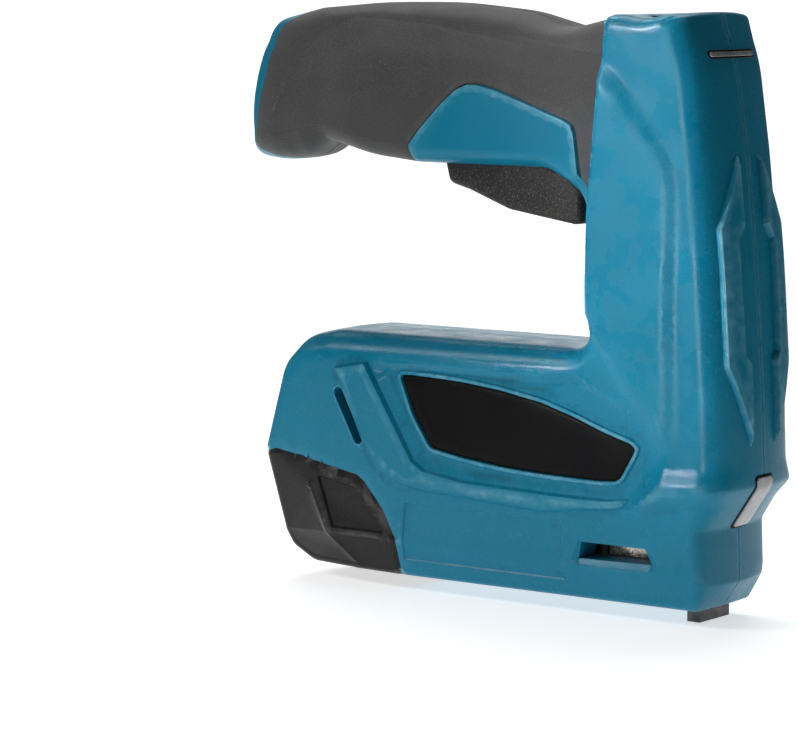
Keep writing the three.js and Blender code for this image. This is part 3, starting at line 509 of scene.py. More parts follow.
def body_height(points, left):
    """Half width of the column and the base."""
    x, z = points[:, 0], points[:, 1]
    draft = DRAFT * ramp((DRAFT_TOP - z) / DRAFT_HEIGHT)
    height = BASE_HALF - draft
    field = ease(depth_in(COLUMN_FIELD, points) / 5.0)
    height += (COLUMN_HALF - height) * field
    height -= FRONT_STEP * ramp(depth_in(FRONT_FIELD, points) / FRONT_SLOPE) * ease((z - 41) / 9)
    strip = depth_in(STRIP_OUTLINE, points)
    strip_top = STRIP_HEIGHT + 0.035 * np.clip(-98.0 - x, 0, 24)
    height += strip_top * ramp(strip / 0.8) * ease((-12.0 - x) / 12.0)
    ring = ramp(depth_in(BADGE_RING, points) / 2.8)
    height += (RING_HALF - height) * ring
    badge = depth_in(BADGE_OUTLINE, points)
    height += 0.75 * ramp((badge + 1.5) / 0.5)
    height -= 1.65 * ramp(badge / 0.3)
    slot = SLOT_RADIUS - distance(SLOT_ENDS, points, closed=False)
    height += 0.35 * ramp((slot + 1.1) / 0.5)
    height -= 4.8 * ramp(slot / 0.45)
    height -= 1.5 * ramp(depth_in(WINDOW_SILL, points) / 2.3)
    height -= 0.45 * ramp(depth_in(COVER_PANEL, points) / 0.5)
    height -= 3.4 * ramp((CHAMFER_TOP - z) / (CHAMFER_TOP - CHAMFER_FOOT))
    magazine = inside(magazine_outline(), points)
    border = distance(MAGAZINE_BORDER, points, closed=False)
    facets = facet_height(points) - draft - 0.7 * ramp(depth_in(MAGAZINE_PANEL, points) / 0.6)
    facets += 0.45 * ramp(1 - distance(FACET_RIDGE, points, closed=False) / 0.8)
    height = np.where(magazine, facets, height)
    height -= 0.7 * ramp(1 - border / 0.35)
    if left:
        for centre in SCREW_WELLS:
            well = WELL_RADIUS - np.hypot(x - centre[0], z - centre[1])
            height -= WELL_DEPTH * ramp(well / 0.3)
    return height


def magazine_outline():
    return MAGAZINE_BORDER + [(-108.5, -20.0), (-190.0, -20.0), (-190.0, 40.9)]


def handle_height(points, left):
    """Half width of the handle."""
    in_ridge = inside(RIDGE_FIELD, points)
    in_panel = inside(PANEL_FIELD, points)
    to_ridge = distance(RIDGE_FIELD, points)
    to_panel = distance(PANEL_FIELD, points)
    share = np.where(in_panel, 1.0, np.where(in_ridge, to_ridge / (to_ridge + to_panel + 1e-9), 0.0))
    height = GRIP_HALF - GRIP_FALL * share
    height += 0.5 * ramp(1 - to_ridge / 1.3)
    height += 0.9 * ease((to_panel - 2) / 14) * in_panel
    accent = depth_in(ACCENT, points)
    height += 0.5 * ramp(accent / 0.5) + 0.35 * ramp((2.4 - np.abs(accent - 1.3)) / 0.5) * (accent > 0)
    height -= 0.3 * ramp(1 - np.abs(accent - 2.7) / 0.4)
    height -= 0.9 * ramp(1 - np.abs(accent) / 0.4)
    if left:
        for centre in SCREW_WELLS:
            well = WELL_RADIUS - np.hypot(points[:, 0] - centre[0], points[:, 1] - centre[1])
            height -= WELL_DEPTH * ramp(well / 0.3)
    return height


def circle(centre, radius, count):
    return np.array([(centre[0] + radius * math.cos(2 * math.pi * k / count),
                      centre[1] + radius * math.sin(2 * math.pi * k / count)) for k in range(count)])


def capsule(ends, radius, steps=9):
    """Outline of a slot with round ends."""
    a, b = np.array(ends[0]), np.array(ends[1])
    angle = math.atan2(b[1] - a[1], b[0] - a[0])
    points = []
    for centre, start in ((b, angle - math.pi / 2), (a, angle + math.pi / 2)):
        for k in range(steps):
            turn = start + math.pi * k / (steps - 1)
            points.append(centre + radius * np.array([math.cos(turn), math.sin(turn)]))
    return np.array(points)


def bands(outline, depths, pitch):
    """Closed lines at several depths inside an outline."""
    return [(resampled(moved_in(outline, d) if d else outline, pitch), True) for d in depths]


def well_lines(form_outline):
    lines = []
    for centre in SCREW_WELLS:
        if inside(form_outline, np.array([centre]))[0]:
            lines += [(circle(centre, WELL_RADIUS, 28), True), (circle(centre, WELL_RADIUS - 0.3, 28), True)]
    return lines


def body_lines(rim, left):
    """Lines that the column and base skin is folded along."""
    clipped = moved_in(rim.inner, 0.25)
    lines = bands(FRONT_FIELD, (0, FRONT_SLOPE), 1.6) + bands(STRIP_OUTLINE, (0, 0.8), 1.2)
    lines += bands(BADGE_RING, (0, 2.8), 1.2) + bands(BADGE_OUTLINE, (-1.5, -1.0, 0, 0.3), 1.0)
    lines += [(capsule(SLOT_ENDS, SLOT_RADIUS + grow), True) for grow in (1.1, 0.6, 0, -0.45)]
    lines += bands(WINDOW_SILL, (0, 2.3), 1.2) + bands(WINDOW, (0,), 1.0) + bands(COVER_PANEL, (0, 0.5), 1.6)
    lines += [(resampled([(-108.0, CHAMFER_TOP), (6.0, CHAMFER_TOP)], 1.6, False), False)]
    lines += [(resampled(MAGAZINE_BORDER, 1.0, False), False)]
    lines += bands(MAGAZINE_PANEL, (0, 0.6), 1.0)
    for names in FACET_LINES:
        lines += [(resampled([MAGAZINE_FACETS[n][:2] for n in names], 1.2, False), False)]
    if left:
        lines += well_lines(rim.inner)
    return cut_to(lines, clipped)


def handle_lines(rim, left):
    """Lines that the handle skin is folded along."""
    clipped = moved_in(rim.inner, 0.25)
    lines = bands(RIDGE_FIELD, (0, 1.3), 1.4) + bands(PANEL_FIELD, (0,), 1.4)
    lines += bands(ACCENT, (-0.4, 0, 0.4, 2.4, 2.9), 1.0)
    if left:
        lines += well_lines(rim.inner)
    return cut_to(lines, clipped)


def cut_to(lines, outline):
    """The stretches of the lines that lie in an outline."""
    result = []
    for line, closed in lines:
        line = np.asarray(line)
        kept = inside(outline, line)
        if kept.all():
            result.append((line, closed))
            continue
        if closed and not kept.any():
            continue
        if closed:
            start = int(np.argmin(kept))
            line, kept = np.roll(line, -start, axis=0), np.roll(kept, -start)
        run = []
        for point, good in zip(line, kept):
            if good:
                run.append(point)
            else:
                if len(run) > 1:
                    result.append((np.array(run), False))
                run = []
        if len(run) > 1:
            result.append((np.array(run), False))
    return result


# ---------------------------------------------------------------------------------------------
# Skins
# ---------------------------------------------------------------------------------------------
class Skin:
    """Points and faces of one half, each face with the name of the zone it belongs to."""

    def __init__(self):
        self.points, self.faces, self.zones, self.count = [], [], [], 0

    def add(self, points, faces, zones):
        self.points.append(np.asarray(points, float))
        self.faces += [tuple(int(i) + self.count for i in f) for f in faces]
        self.zones += list(zones)
        self.count += len(points)

    def part(self, names, left):
        """Points and faces of some zones, on the side asked for."""
        chosen = [f for f, zone in zip(self.faces, self.zones) if zone in names]
        points = np.concatenate(self.points)
        used = sorted({i for f in chosen for i in f})
        places = {i: k for k, i in enumerate(used)}
        points = points[used] * (1, 1 if left else -1, 1)
        faces = [tuple(places[i] for i in (reversed(f) if left else f)) for f in chosen]
        return points, faces


def wall(skin, line, tops, floor, zone, flip):
    """A wall from a line on the surface in to the floor distance."""
    line = np.asarray(line)
    top = np.column_stack([line[:, 0], tops, line[:, 1]])
    low = np.column_stack([line[:, 0], np.minimum(floor, tops), line[:, 1]])
    count = len(line)
    faces = []
    for k in range(count - 1):
        quad = (k, k + 1, count + k + 1, count + k)
        faces.append(quad[::-1] if flip else quad)
    skin.add(np.concatenate([top, low]), faces, [zone] * len(faces))


def rim_into(skin, rows, zone_of):
    """Adds the rim's quads."""
    count = rows.shape[1]
    points = rows.reshape(-1, 3)
    faces, zones = [], []
    for j in range(rows.shape[0] - 1):
        for i in range(count):
            n = (i + 1) % count
            faces.append((j * count + i, (j + 1) * count + i, (j + 1) * count + n, j * count + n))
            zones.append(zone_of(i, j))
    skin.add(points, faces, zones)


def body_rim():
    return Rim(BODY_RIM, 1.7)


@functools.lru_cache(maxsize=8)
def body_half(left, groove):
    """The column, base and magazine end of one half."""
    rim = body_rim()
    rim.top = body_height(rim.inner, left)
    rows = rim.rows(9, 6, np.zeros(len(rim.top)), groove)
    first, last = (rim.marks[k] for k in BODY_MAGAZINE_MARKS)
    skin = Skin()
    rim_into(skin, rows, lambda i, j: "magazine" if first <= i < last else "shell")
    corners, faces = filled(rim.inner, body_lines(rim, left), 2.2)
    heights = body_height(corners, left)
    centres = corners[faces].mean(axis=1)
    kept = ~inside(WINDOW, centres)
    zones = np.where(inside(magazine_outline(), centres), "magazine", "shell")
    # The deep floor of the vent slot gets a near-black finish: painted shade in place of a real opening.
    deep = SLOT_RADIUS - 0.45 - distance(SLOT_ENDS, centres, closed=False) > 0
    zones = np.where(deep, "slot", zones)
    points = np.column_stack([corners[:, 0], heights, corners[:, 1]])
    skin.add(points, faces[kept], zones[kept])
    window = resampled(WINDOW, 1.0)
    window = np.concatenate([window, window[:1]])
    wall(skin, window, body_height(window, left), WINDOW_FLOOR, "shell", area_of(WINDOW) > 0)
    border = resampled(MAGAZINE_BORDER, 1.0, False)
    tops = body_height(border, left)
    wall(skin, border, tops, SHELL_FLOOR, "shell", False)
    wall(skin, border, tops, np.where(border[:, 1] < RAIL_TOP, MAGAZINE_FLOOR, 0.0), "magazine", True)
    for mark, open_side in ((first, True), (last, False)):
        column = rows[:, mark]
        floor = MAGAZINE_FLOOR if column[0, 2] < RAIL_TOP else 0.0
        wall(skin, column[:, [0, 2]], column[:, 1], floor, "magazine", open_side)
        wall(skin, column[:, [0, 2]], column[:, 1], SHELL_FLOOR, "shell", not open_side)
    return skin, rim


def crescent_split(rim):
    """Where the hard rear strip of the handle ends, across, at each sample of its rim."""
    first, last = (rim.marks[k] for k in HANDLE_CRESCENT_MARKS)
    split = np.zeros(len(rim.outer))
    length = rim.along()
    span = length[last] - length[first]
    for i in range(first, last + 1):
        t = (length[i] - length[first]) / span
        split[i] = 0.4 + 15.4 * math.sin(math.pi * t ** 0.85) ** 0.36 if 0 < t < 1 else 0.4
    return split


@functools.lru_cache(maxsize=8)
def handle_half(left, groove):
    """The handle of one half."""
    rim = Rim(HANDLE_RIM, 1.7)
    rim.top = handle_height(rim.inner, left)
    flat_rows = 8
    rows = rim.rows(flat_rows, 8, crescent_split(rim), groove)
    accent = [rim.marks[k] for k in HANDLE_ACCENT_MARKS]
    crescent = [rim.marks[k] for k in HANDLE_CRESCENT_MARKS]

    def zone(i, j):
        if accent[0] <= i < accent[1]:
            return "accent"
        if crescent[0] <= i < crescent[1] and j <= flat_rows:
            return "crescent"
        return "grip"

    skin = Skin()
    rim_into(skin, rows, zone)
    corners, faces = filled(rim.inner, handle_lines(rim, left), 2.0)
    points = np.column_stack([corners[:, 0], handle_height(corners, left), corners[:, 1]])
    centres = corners[faces].mean(axis=1)
    zones = np.where(inside(ACCENT, centres), "accent", "grip")
    skin.add(points, faces, zones)
    return skin, rim


# ---------------------------------------------------------------------------------------------
# Objects
# ---------------------------------------------------------------------------------------------
def make_piece(name, points, faces, finish, body, crease=27.0, replaced=(), inner=None, indices=None):
    """A piece from tool millimetres, welded, smooth with creases, riding on a body."""
    if not len(faces):
        raise RuntimeError("no faces for " + name)
    mesh = bpy.data.meshes.new(name)
    mesh.from_pydata(to_metres(points).tolist(), [], [list(f) for f in faces])
    mesh.materials.append(material(finish))
    if inner:
        mesh.materials.append(material(inner))
    if indices is not None:
        mesh.polygons.foreach_set("material_index", np.asarray(indices, np.int32))
    work = bmesh.new()
    work.from_mesh(mesh)
    bmesh.ops.remove_doubles(work, verts=work.verts, dist=0.03 * MM)
    work.to_mesh(mesh)
    work.free()
    mesh.polygons.foreach_set("use_smooth", [True] * len(mesh.polygons))
    mesh.set_sharp_from_angle(angle=math.radians(crease))
    piece = bpy.data.objects.new(name, mesh)
    bpy.context.scene.collection.objects.link(piece)
    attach(piece, body)
    if replaced:
        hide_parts(*replaced)
    return piece


def rounded_plate(outline, half, inset, reach, pitch=1.2):
    """A closed plate with rounded edges, both halves, from corners (x, z, radius)."""
    base = np.array([c[:2] for c in outline])
    inner = moved_in(base, inset)
    corners = [(c[0], c[1], c[2], p[0], p[1], max(c[2] - inset, 0.3), 0.0, reach)
               for c, p in zip(outline, inner)]
    if area_of(base) > 0:
        corners = corners[::-1]
    rim = Rim(corners, pitch, 5)
    rim.top = np.full(len(rim.outer), float(half))
    rows = rim.rows(4, 5, np.zeros(len(rim.outer)), 0.0)
    rows[0, :, 1] = 0.0
    skin = Skin()
    rim_into(skin, rows, lambda i, j: "plate")
    corners2, faces = filled(rim.inner, [], 3.0)
    points = np.column_stack([corners2[:, 0], np.full(len(corners2), float(half)), corners2[:, 1]])
    skin.add(points, faces, ["plate"] * len(faces))
    right, right_faces = skin.part(("plate",), False)
    left, left_faces = skin.part(("plate",), True)
    shift = len(right)
    return np.concatenate([right, left]), right_faces + [tuple(i + shift for i in f) for f in left_faces]


def draped(rim, outline, height, bevel, spacing, sunk=0.3, facing=1.0):
    """A raised plate lying on the rim. Its outline is (across, length along the rim)."""
    outline = resampled(outline, 1.2)
    lines = bands(outline, (bevel * 0.5, bevel), 1.2)
    corners, faces = filled(outline, lines, spacing)
    depth = np.maximum(depth_in(outline, corners), 0)
    lift = -sunk + (height + sunk) * np.sqrt(ramp(depth / bevel))
    points = rim.surface(corners[:, 1], corners[:, 0], lift, facing)
    a, b, c = (points[faces[:, k]] for k in range(3))
    if np.cross(b - a, c - a)[:, 0].mean() * facing < 0:
        faces = faces[:, ::-1]
    return points, faces


def front_length(rim, z):
    """Length along the rim at a height on the front face."""
    length = rim.along()
    last = rim.marks[6]
    return np.interp(-np.asarray(z, float), -rim.outer[3:last, 1], length[3:last])


def turned(profile, centre, turns):
    """Points and faces of a shape turned about the y axis: profile is (distance along it, radius)."""
    points, faces = [], []
    for along, radius in profile:
        for k in range(turns):
            angle = 2 * math.pi * k / turns
            offset = np.array([radius * math.cos(angle), along, radius * math.sin(angle)])
            points.append(np.asarray(centre) + offset)
    for j in range(len(profile) - 1):
        for k in range(turns):
            n = (k + 1) % turns
            faces.append((j * turns + k, j * turns + n, (j + 1) * turns + n, (j + 1) * turns + k))
    return points, faces


# ---------------------------------------------------------------------------------------------
# Finishes
# ---------------------------------------------------------------------------------------------
class Finish:
    """Builds one node material."""

    def __init__(self, name):
        self.material = bpy.data.materials.new(name)
        self.material.use_nodes = True
        self.tree = self.material.node_tree
        self.shader = self.tree.nodes["Principled BSDF"]
        self.coords = self.node("ShaderNodeTexCoord")

    def node(self, kind, **values):
        made = self.tree.nodes.new(kind)
        for key, value in values.items():
            setattr(made, key, value)
        return made

    def link(self, source, target):
        self.tree.links.new(source, target)

    def noise(self, scale, detail=2.0, rough=0.5, stretch=None):
        made = self.node("ShaderNodeTexNoise")
        made.inputs["Scale"].default_value = scale
        made.inputs["Detail"].default_value = detail
        made.inputs["Roughness"].default_value = rough
        source = self.coords.outputs["Object"]
        if stretch:
            mapping = self.node("ShaderNodeMapping")
            mapping.inputs["Scale"].default_value = stretch
            self.link(source, mapping.inputs["Vector"])
            source = mapping.outputs["Vector"]
        self.link(source, made.inputs["Vector"])
        return made.outputs["Fac"]

    def span(self, source, low, high, to_low=0.0, to_high=1.0):
        made = self.node("ShaderNodeMapRange")
        for key, value in (("From Min", low), ("From Max", high), ("To Min", to_low), ("To Max", to_high)):
            made.inputs[key].default_value = value
        self.link(source, made.inputs["Value"])
        return made.outputs["Result"]

    def times(self, first, second):
        made = self.node("ShaderNodeMath", operation="MULTIPLY")
        self.link(first, made.inputs[0])
        if isinstance(second, float):
            made.inputs[1].default_value = second
        else:
            self.link(second, made.inputs[1])
        return made.outputs[0]

    def mix(self, share, first, second):
        made = self.node("ShaderNodeMix", data_type="RGBA")
        self.link(share, made.inputs[0])
        for value, socket in ((first, made.inputs[6]), (second, made.inputs[7])):
            if isinstance(value, tuple):
                socket.default_value = (*value, 1.0)
            else:
                self.link(value, socket)
        return made.outputs[2]

    def bump(self, source, depth, strength, below=None):
        made = self.node("ShaderNodeBump")
        made.inputs["Distance"].default_value = depth * MM
        made.inputs["Strength"].default_value = strength
        self.link(source, made.inputs["Height"])
        if below:
            self.link(below, made.inputs["Normal"])
        return made.outputs["Normal"]

    def edges(self, low, high):
        """High along convex outer edges, or in the creases when low is above high."""
        geometry = self.node("ShaderNodeNewGeometry")
        return self.span(geometry.outputs["Pointiness"], low, high)


def plastic(name, colour, shade, bright, rough, grain, depth, fleck, edge_highlight, metallic=0.0, sheen=0.0,
            gloss=0.2):
    """Moulded plastic, rubber or metal: mottled colour, flecks, a painted highlight along convex edges,
    painted shade in the creases, grained surface.
    """
    make = Finish(name)
    clouds = make.noise(38.0, 3.0)
    base = make.mix(make.span(clouds, 0.35, 0.65), tuple(colour), tuple(shade))
    if fleck:
        flecks = make.span(make.noise(grain * 2.1, 1.0), 0.56, 0.72, 0.0, fleck)
        base = make.mix(flecks, base, tuple(bright))
    # Painted highlight: convex edges lightened towards the bright colour, broken up by noise. Painted shade:
    # creases darkened towards a quarter of the darker tone.
    if edge_highlight:
        edge_highlight_mask = make.times(make.edges(0.52, 0.59), make.span(make.noise(260.0, 4.0), 0.38, 0.62, 0.35, 1.0))
        base = make.mix(make.times(edge_highlight_mask, edge_highlight), base, tuple(bright))
        crease_shade_mask = make.times(make.edges(0.485, 0.43), make.span(make.noise(180.0, 3.0), 0.3, 0.6, 0.55, 1.0))
        base = make.mix(make.times(crease_shade_mask, 0.8), base, tuple(c * 0.25 for c in shade))
    make.link(base, make.shader.inputs["Base Color"])
    make.link(make.span(make.noise(120.0, 4.0), 0.3, 0.7, rough - 0.06, rough + 0.08),
              make.shader.inputs["Roughness"])
    make.shader.inputs["Metallic"].default_value = metallic
    make.shader.inputs["Specular IOR Level"].default_value = gloss
    if sheen:
        make.shader.inputs["Sheen Weight"].default_value = sheen
    fine = make.bump(make.noise(grain, 2.0), depth, 0.9)
    normal = make.bump(make.noise(90.0, 2.0), depth * 1.5, 0.35, fine)
    make.link(normal, make.shader.inputs["Normal"])
    return make.material


def brushed(name, colour, shade, rough, stretch, depth=0.006):
    """Drawn or rolled metal with fine lines along it."""
    make = Finish(name)
    lines = make.noise(1.0, 4.0, 0.6, stretch)
    stains = make.span(make.noise(70.0, 4.0), 0.35, 0.7)
    base = make.mix(stains, tuple(colour), tuple(shade))
    make.link(base, make.shader.inputs["Base Color"])
    make.link(make.span(lines, 0.3, 0.7, rough - 0.07, rough + 0.1), make.shader.inputs["Roughness"])
    make.shader.inputs["Metallic"].default_value = 1.0
    make.link(make.bump(lines, depth, 0.8), make.shader.inputs["Normal"])
    return make.material


def striped_board(name):
    """Printed circuit board: green mask with copper tracks under it."""
    make = Finish(name)
    tracks = make.node("ShaderNodeTexBrick")
    tracks.inputs["Scale"].default_value = 420.0
    tracks.inputs["Mortar Size"].default_value = 0.035
    make.link(make.coords.outputs["Object"], tracks.inputs["Vector"])
    speck = make.span(make.noise(900.0, 2.0), 0.4, 0.7)
    base = make.mix(make.times(tracks.outputs["Fac"], 0.7), (0.006, 0.075, 0.03), (0.05, 0.22, 0.08))
    make.link(make.mix(make.times(speck, 0.25), base, (0.02, 0.03, 0.02)), make.shader.inputs["Base Color"])
    make.link(make.span(speck, 0.0, 1.0, 0.3, 0.45), make.shader.inputs["Roughness"])
    make.link(make.bump(tracks.outputs["Fac"], 0.03, 0.6), make.shader.inputs["Normal"])
    return make.material


def clear_lens(name, colour, shade, rough):
    """Moulded light window: milky, with faint ribs inside."""
    make = Finish(name)
    ribs = make.node("ShaderNodeTexWave", wave_type="BANDS", bands_direction="Y")
    ribs.inputs["Scale"].default_value = 160.0
    ribs.inputs["Distortion"].default_value = 0.6
    make.link(make.coords.outputs["Object"], ribs.inputs["Vector"])
    haze = make.span(make.noise(240.0, 3.0), 0.35, 0.7)
    base = make.mix(make.times(ribs.outputs["Fac"], 0.45), tuple(colour), tuple(shade))
    make.link(make.mix(make.times(haze, 0.3), base, (0.6, 0.6, 0.6)), make.shader.inputs["Base Color"])
    make.link(make.span(haze, 0, 1, rough, rough + 0.12), make.shader.inputs["Roughness"])
    make.shader.inputs["Coat Weight"].default_value = 0.6
    make.link(make.bump(ribs.outputs["Fac"], 0.02, 0.4), make.shader.inputs["Normal"])
    return make.material


def material(name):
    """The finished material of a slot, made once."""
    found = bpy.data.materials.get("finish_" + name)
    if found:
        return found
    look = bpy.context.scene.stapler_look
    full = "finish_" + name
    teal = tuple(look.teal)
    darker = tuple(c * 0.93 for c in teal)
    # The ninth plastic argument sets the painted highlight on convex edges and also turns on the painted
    # shade in creases.
    makers = {
        "teal_shell": lambda: plastic(full, teal, darker, (0.32, 0.62, 0.72), look.shell_roughness, 1350.0,
                                      0.035, look.fleck, 0.5),
        "accent_shell": lambda: plastic(full, teal, darker, (0.30, 0.66, 0.78), 0.34, 900.0, 0.008, 0.0,
                                        0.45),
        "soft_grip": lambda: plastic(full, tuple(look.rubber), tuple(c * 0.8 for c in look.rubber),
                                     (0.22, 0.22, 0.22), 0.6, 1500.0, 0.03, 0.25, 0.35, 0.0, 0.15),
        # Painted shade: a near-black finish standing in for the shade inside the vent slot, the port mouth
        # and the screw crosses.
        "painted_hole_shade": lambda: plastic(full, (0.002, 0.006, 0.014), (0.001, 0.003, 0.008), (0.02, 0.04, 0.06),
                                      0.5, 900.0, 0.02, 0.0, 0.0),
        "black_gloss": lambda: plastic(full, (0.005, 0.005, 0.005), (0.003, 0.003, 0.004), (0.03, 0.03, 0.03),
                                       0.42, 1600.0, 0.006, 0.06, 0.15, 0.0, 0.0, 0.06),
        "magazine_black": lambda: plastic(full, (0.012, 0.0115, 0.0115), (0.008, 0.008, 0.008),
                                          (0.30, 0.29, 0.28), 0.34, 1300.0, 0.012, 0.06, 0.55),
        "trigger_black": lambda: plastic(full, (0.024, 0.023, 0.022), (0.012, 0.012, 0.012),
                                         (0.20, 0.19, 0.18), 0.42, 950.0, 0.08, 0.4, 0.4),
        "grey_plastic": lambda: plastic(full, (0.20, 0.20, 0.205), (0.15, 0.15, 0.155), (0.45, 0.45, 0.45),
                                        0.45, 1100.0, 0.02, 0.15, 0.3),
        "smoked_lens": lambda: clear_lens(full, (0.17, 0.18, 0.19), (0.09, 0.10, 0.11), 0.18),
        "bright_steel": lambda: brushed(full, (0.5, 0.5, 0.49), (0.34, 0.34, 0.34), 0.34,
                                        (90.0, 1400.0, 1400.0)),
        "black_steel": lambda: plastic(full, (0.010, 0.010, 0.011), (0.006, 0.006, 0.006), (0.30, 0.30, 0.30),
                                       0.3, 1200.0, 0.008, 0.04, 0.35, 0.3),
        "spring_wire": lambda: brushed(full, (0.40, 0.40, 0.41), (0.26, 0.26, 0.27), 0.3,
                                       (700.0, 700.0, 700.0)),
        "nylon": lambda: plastic(full, (0.62, 0.60, 0.54), (0.52, 0.50, 0.45), (0.8, 0.79, 0.74), 0.42, 900.0,
                                 0.012, 0.1, 0.3),
        "nickel": lambda: brushed(full, (0.66, 0.64, 0.58), (0.50, 0.48, 0.43), 0.22, (1200.0, 90.0, 1200.0)),
        "circuit_board": lambda: striped_board(full),
        "cell_wrap": lambda: plastic(full, (0.012, 0.07, 0.24), (0.010, 0.05, 0.18), (0.2, 0.35, 0.6), 0.3,
                                     300.0, 0.01, 0.05, 0.3),
        "red_insulation": lambda: plastic(full, (0.42, 0.012, 0.010), (0.30, 0.010, 0.008), (0.7, 0.2, 0.2),
                                          0.4, 800.0, 0.01, 0.05, 0.2),
        "black_insulation": lambda: plastic(full, (0.014, 0.014, 0.014), (0.008, 0.008, 0.008),
                                            (0.1, 0.1, 0.1), 0.42, 800.0, 0.01, 0.05, 0.2),
    }
    return makers[name]()


# ---------------------------------------------------------------------------------------------
# Settings
# ---------------------------------------------------------------------------------------------
class StaplerLook(bpy.types.PropertyGroup):
    """Colours and finishes of the stapler."""
    teal: FloatVectorProperty(name="Shell colour", description="Colour of the hard plastic shell", size=3,
                              default=(0.001, 0.165, 0.27), min=0, max=1, subtype="COLOR")
    rubber: FloatVectorProperty(name="Grip colour", description="Colour of the soft grip", size=3,
                                default=(0.052, 0.052, 0.052), min=0, max=1, subtype="COLOR")
    shell_roughness: FloatProperty(name="Shell roughness", description="Roughness of the shell",
                                   default=0.28, min=0.05, max=0.95, subtype="FACTOR")
    fleck: FloatProperty(name="Fleck", description="Strength of the bright grain in the shell",
                         default=0.09, min=0, max=1, subtype="FACTOR")
    seam: FloatProperty(name="Seam depth", description="Depth of the groove between the halves, in mm",
                        default=0.3, min=0, max=1)


class StaplerStage(bpy.types.PropertyGroup):
    """Floor, light and camera."""
    key_power: FloatProperty(name="Key light", description="Power of the broad light", default=6.5, min=0,
                             unit="POWER")
    edge_power: FloatProperty(name="Edge light", description="Power of the narrow light", default=5.6, min=0,
                              unit="POWER")
    column_power: FloatProperty(name="Column light", description="Power of the light on the column",
                                default=0.036, min=0, unit="POWER")
    top_power: FloatProperty(name="Top light", description="Power of the light above", default=6.5, min=0,
                             unit="POWER")
    lens: FloatProperty(name="Lens", description="Focal length of the camera", default=155.4, min=20, max=400,
                        unit="CAMERA")
    turn: FloatProperty(name="Turn", description="How far the camera stands round from the side",
                        default=math.radians(36.86), subtype="ANGLE")
    tilt: FloatProperty(name="Tilt", description="How far the camera looks down",
                        default=math.radians(6.637), subtype="ANGLE")


class StaplerParts(bpy.types.PropertyGroup):
    """Sizes of the trims."""
    rib_height: FloatProperty(name="Rib height", description="Height of the front ribs, in millimetres",
                              default=1.9, min=0.2, max=3)
    badge_play: FloatProperty(name="Badge gap", description="Gap round the badge, in millimetres",
                              default=0.22, min=0.05, max=1)
    thread_turns: IntProperty(name="Screw facets", description="Sides of the round screw heads",
                              default=36, min=12, max=96)


# ---------------------------------------------------------------------------------------------
# Operators
# ---------------------------------------------------------------------------------------------
def other_side(left):
    return "left" if left else "right"


class STAPLER_OT_shell(bpy.types.Operator):
    """Builds the two hard halves of the column, the base and the handle's trims"""
    bl_idname = "stapler.shell"
    bl_label = "Shell halves"

    def execute(self, context):
        groove = context.scene.stapler_look.seam
        for left in (False, True):
            body, _ = body_half(left, groove)
            handle, _ = handle_half(left, groove)
            side = other_side(left)
            points, faces = body.part(("shell", "slot"), left)
            labels = [z for z in body.zones if z in ("shell", "slot")]
            make_piece("shell_" + side, points, faces, "teal_shell", "body",
                       replaced=("housing_" + side,), inner="painted_hole_shade",
                       indices=[1 if z == "slot" else 0 for z in labels])
            points, faces = handle.part(("accent", "crescent"), left)
            make_piece("handle_trim_" + side, points, faces, "accent_shell", "body")
        return {"FINISHED"}


class STAPLER_OT_grips(bpy.types.Operator):
    """Builds the soft skins of the handle"""
    bl_idname = "stapler.grips"
    bl_label = "Soft grips"

    def execute(self, context):
        for left in (False, True):
            skin, _ = handle_half(left, context.scene.stapler_look.seam)
            points, faces = skin.part(("grip",), left)
            side = other_side(left)
            make_piece("soft_grip_" + side, points, faces, "soft_grip", "body", 34.0,
                       ("grip_" + side,))
        return {"FINISHED"}


class STAPLER_OT_magazine(bpy.types.Operator):
    """Builds the faceted end of the pull-out magazine"""
    bl_idname = "stapler.magazine"
    bl_label = "Magazine end"

    def execute(self, context):
        points, faces = [], []
        for left in (False, True):
            skin, _ = body_half(left, context.scene.stapler_look.seam)
            some, these = skin.part(("magazine",), left)
            shift = sum(len(p) for p in points)
            points.append(some)
            faces += [tuple(i + shift for i in f) for f in these]
        make_piece("magazine_end", np.concatenate(points), faces, "magazine_black", "magazine",
                   14.0, ("magazine_grip",))
        return {"FINISHED"}


class STAPLER_OT_badges(bpy.types.Operator):
    """Builds the plain black plates in the flanks"""
    bl_idname = "stapler.badges"
    bl_label = "Side badges"

    def execute(self, context):
        play = context.scene.stapler_parts.badge_play
        outline = resampled(moved_in(BADGE_OUTLINE, play), 1.0)
        for left in (False, True):
            corners, faces = filled(outline, bands(outline, (0.35, 0.7), 1.0), 3.0)
            depth = np.maximum(depth_in(outline, corners), 0)
            height = BADGE_HALF + 0.55 * np.sqrt(ramp(depth / 0.7)) + 0.15 * ease(depth / 12)
            points = np.column_stack([corners[:, 0], height, corners[:, 1]])
            skin = Skin()
            skin.add(points, faces, ["plate"] * len(faces))
            rim = np.concatenate([outline, outline[:1]])
            wall(skin, rim, np.full(len(rim), BADGE_HALF), BADGE_FOOT, "plate", area_of(outline) > 0)
            points, faces = skin.part(("plate",), left)
            side = other_side(left)
            make_piece("badge_plate_" + side, points, faces, "black_gloss", "body", 30.0,
                       ("badge_" + side,))
        return {"FINISHED"}


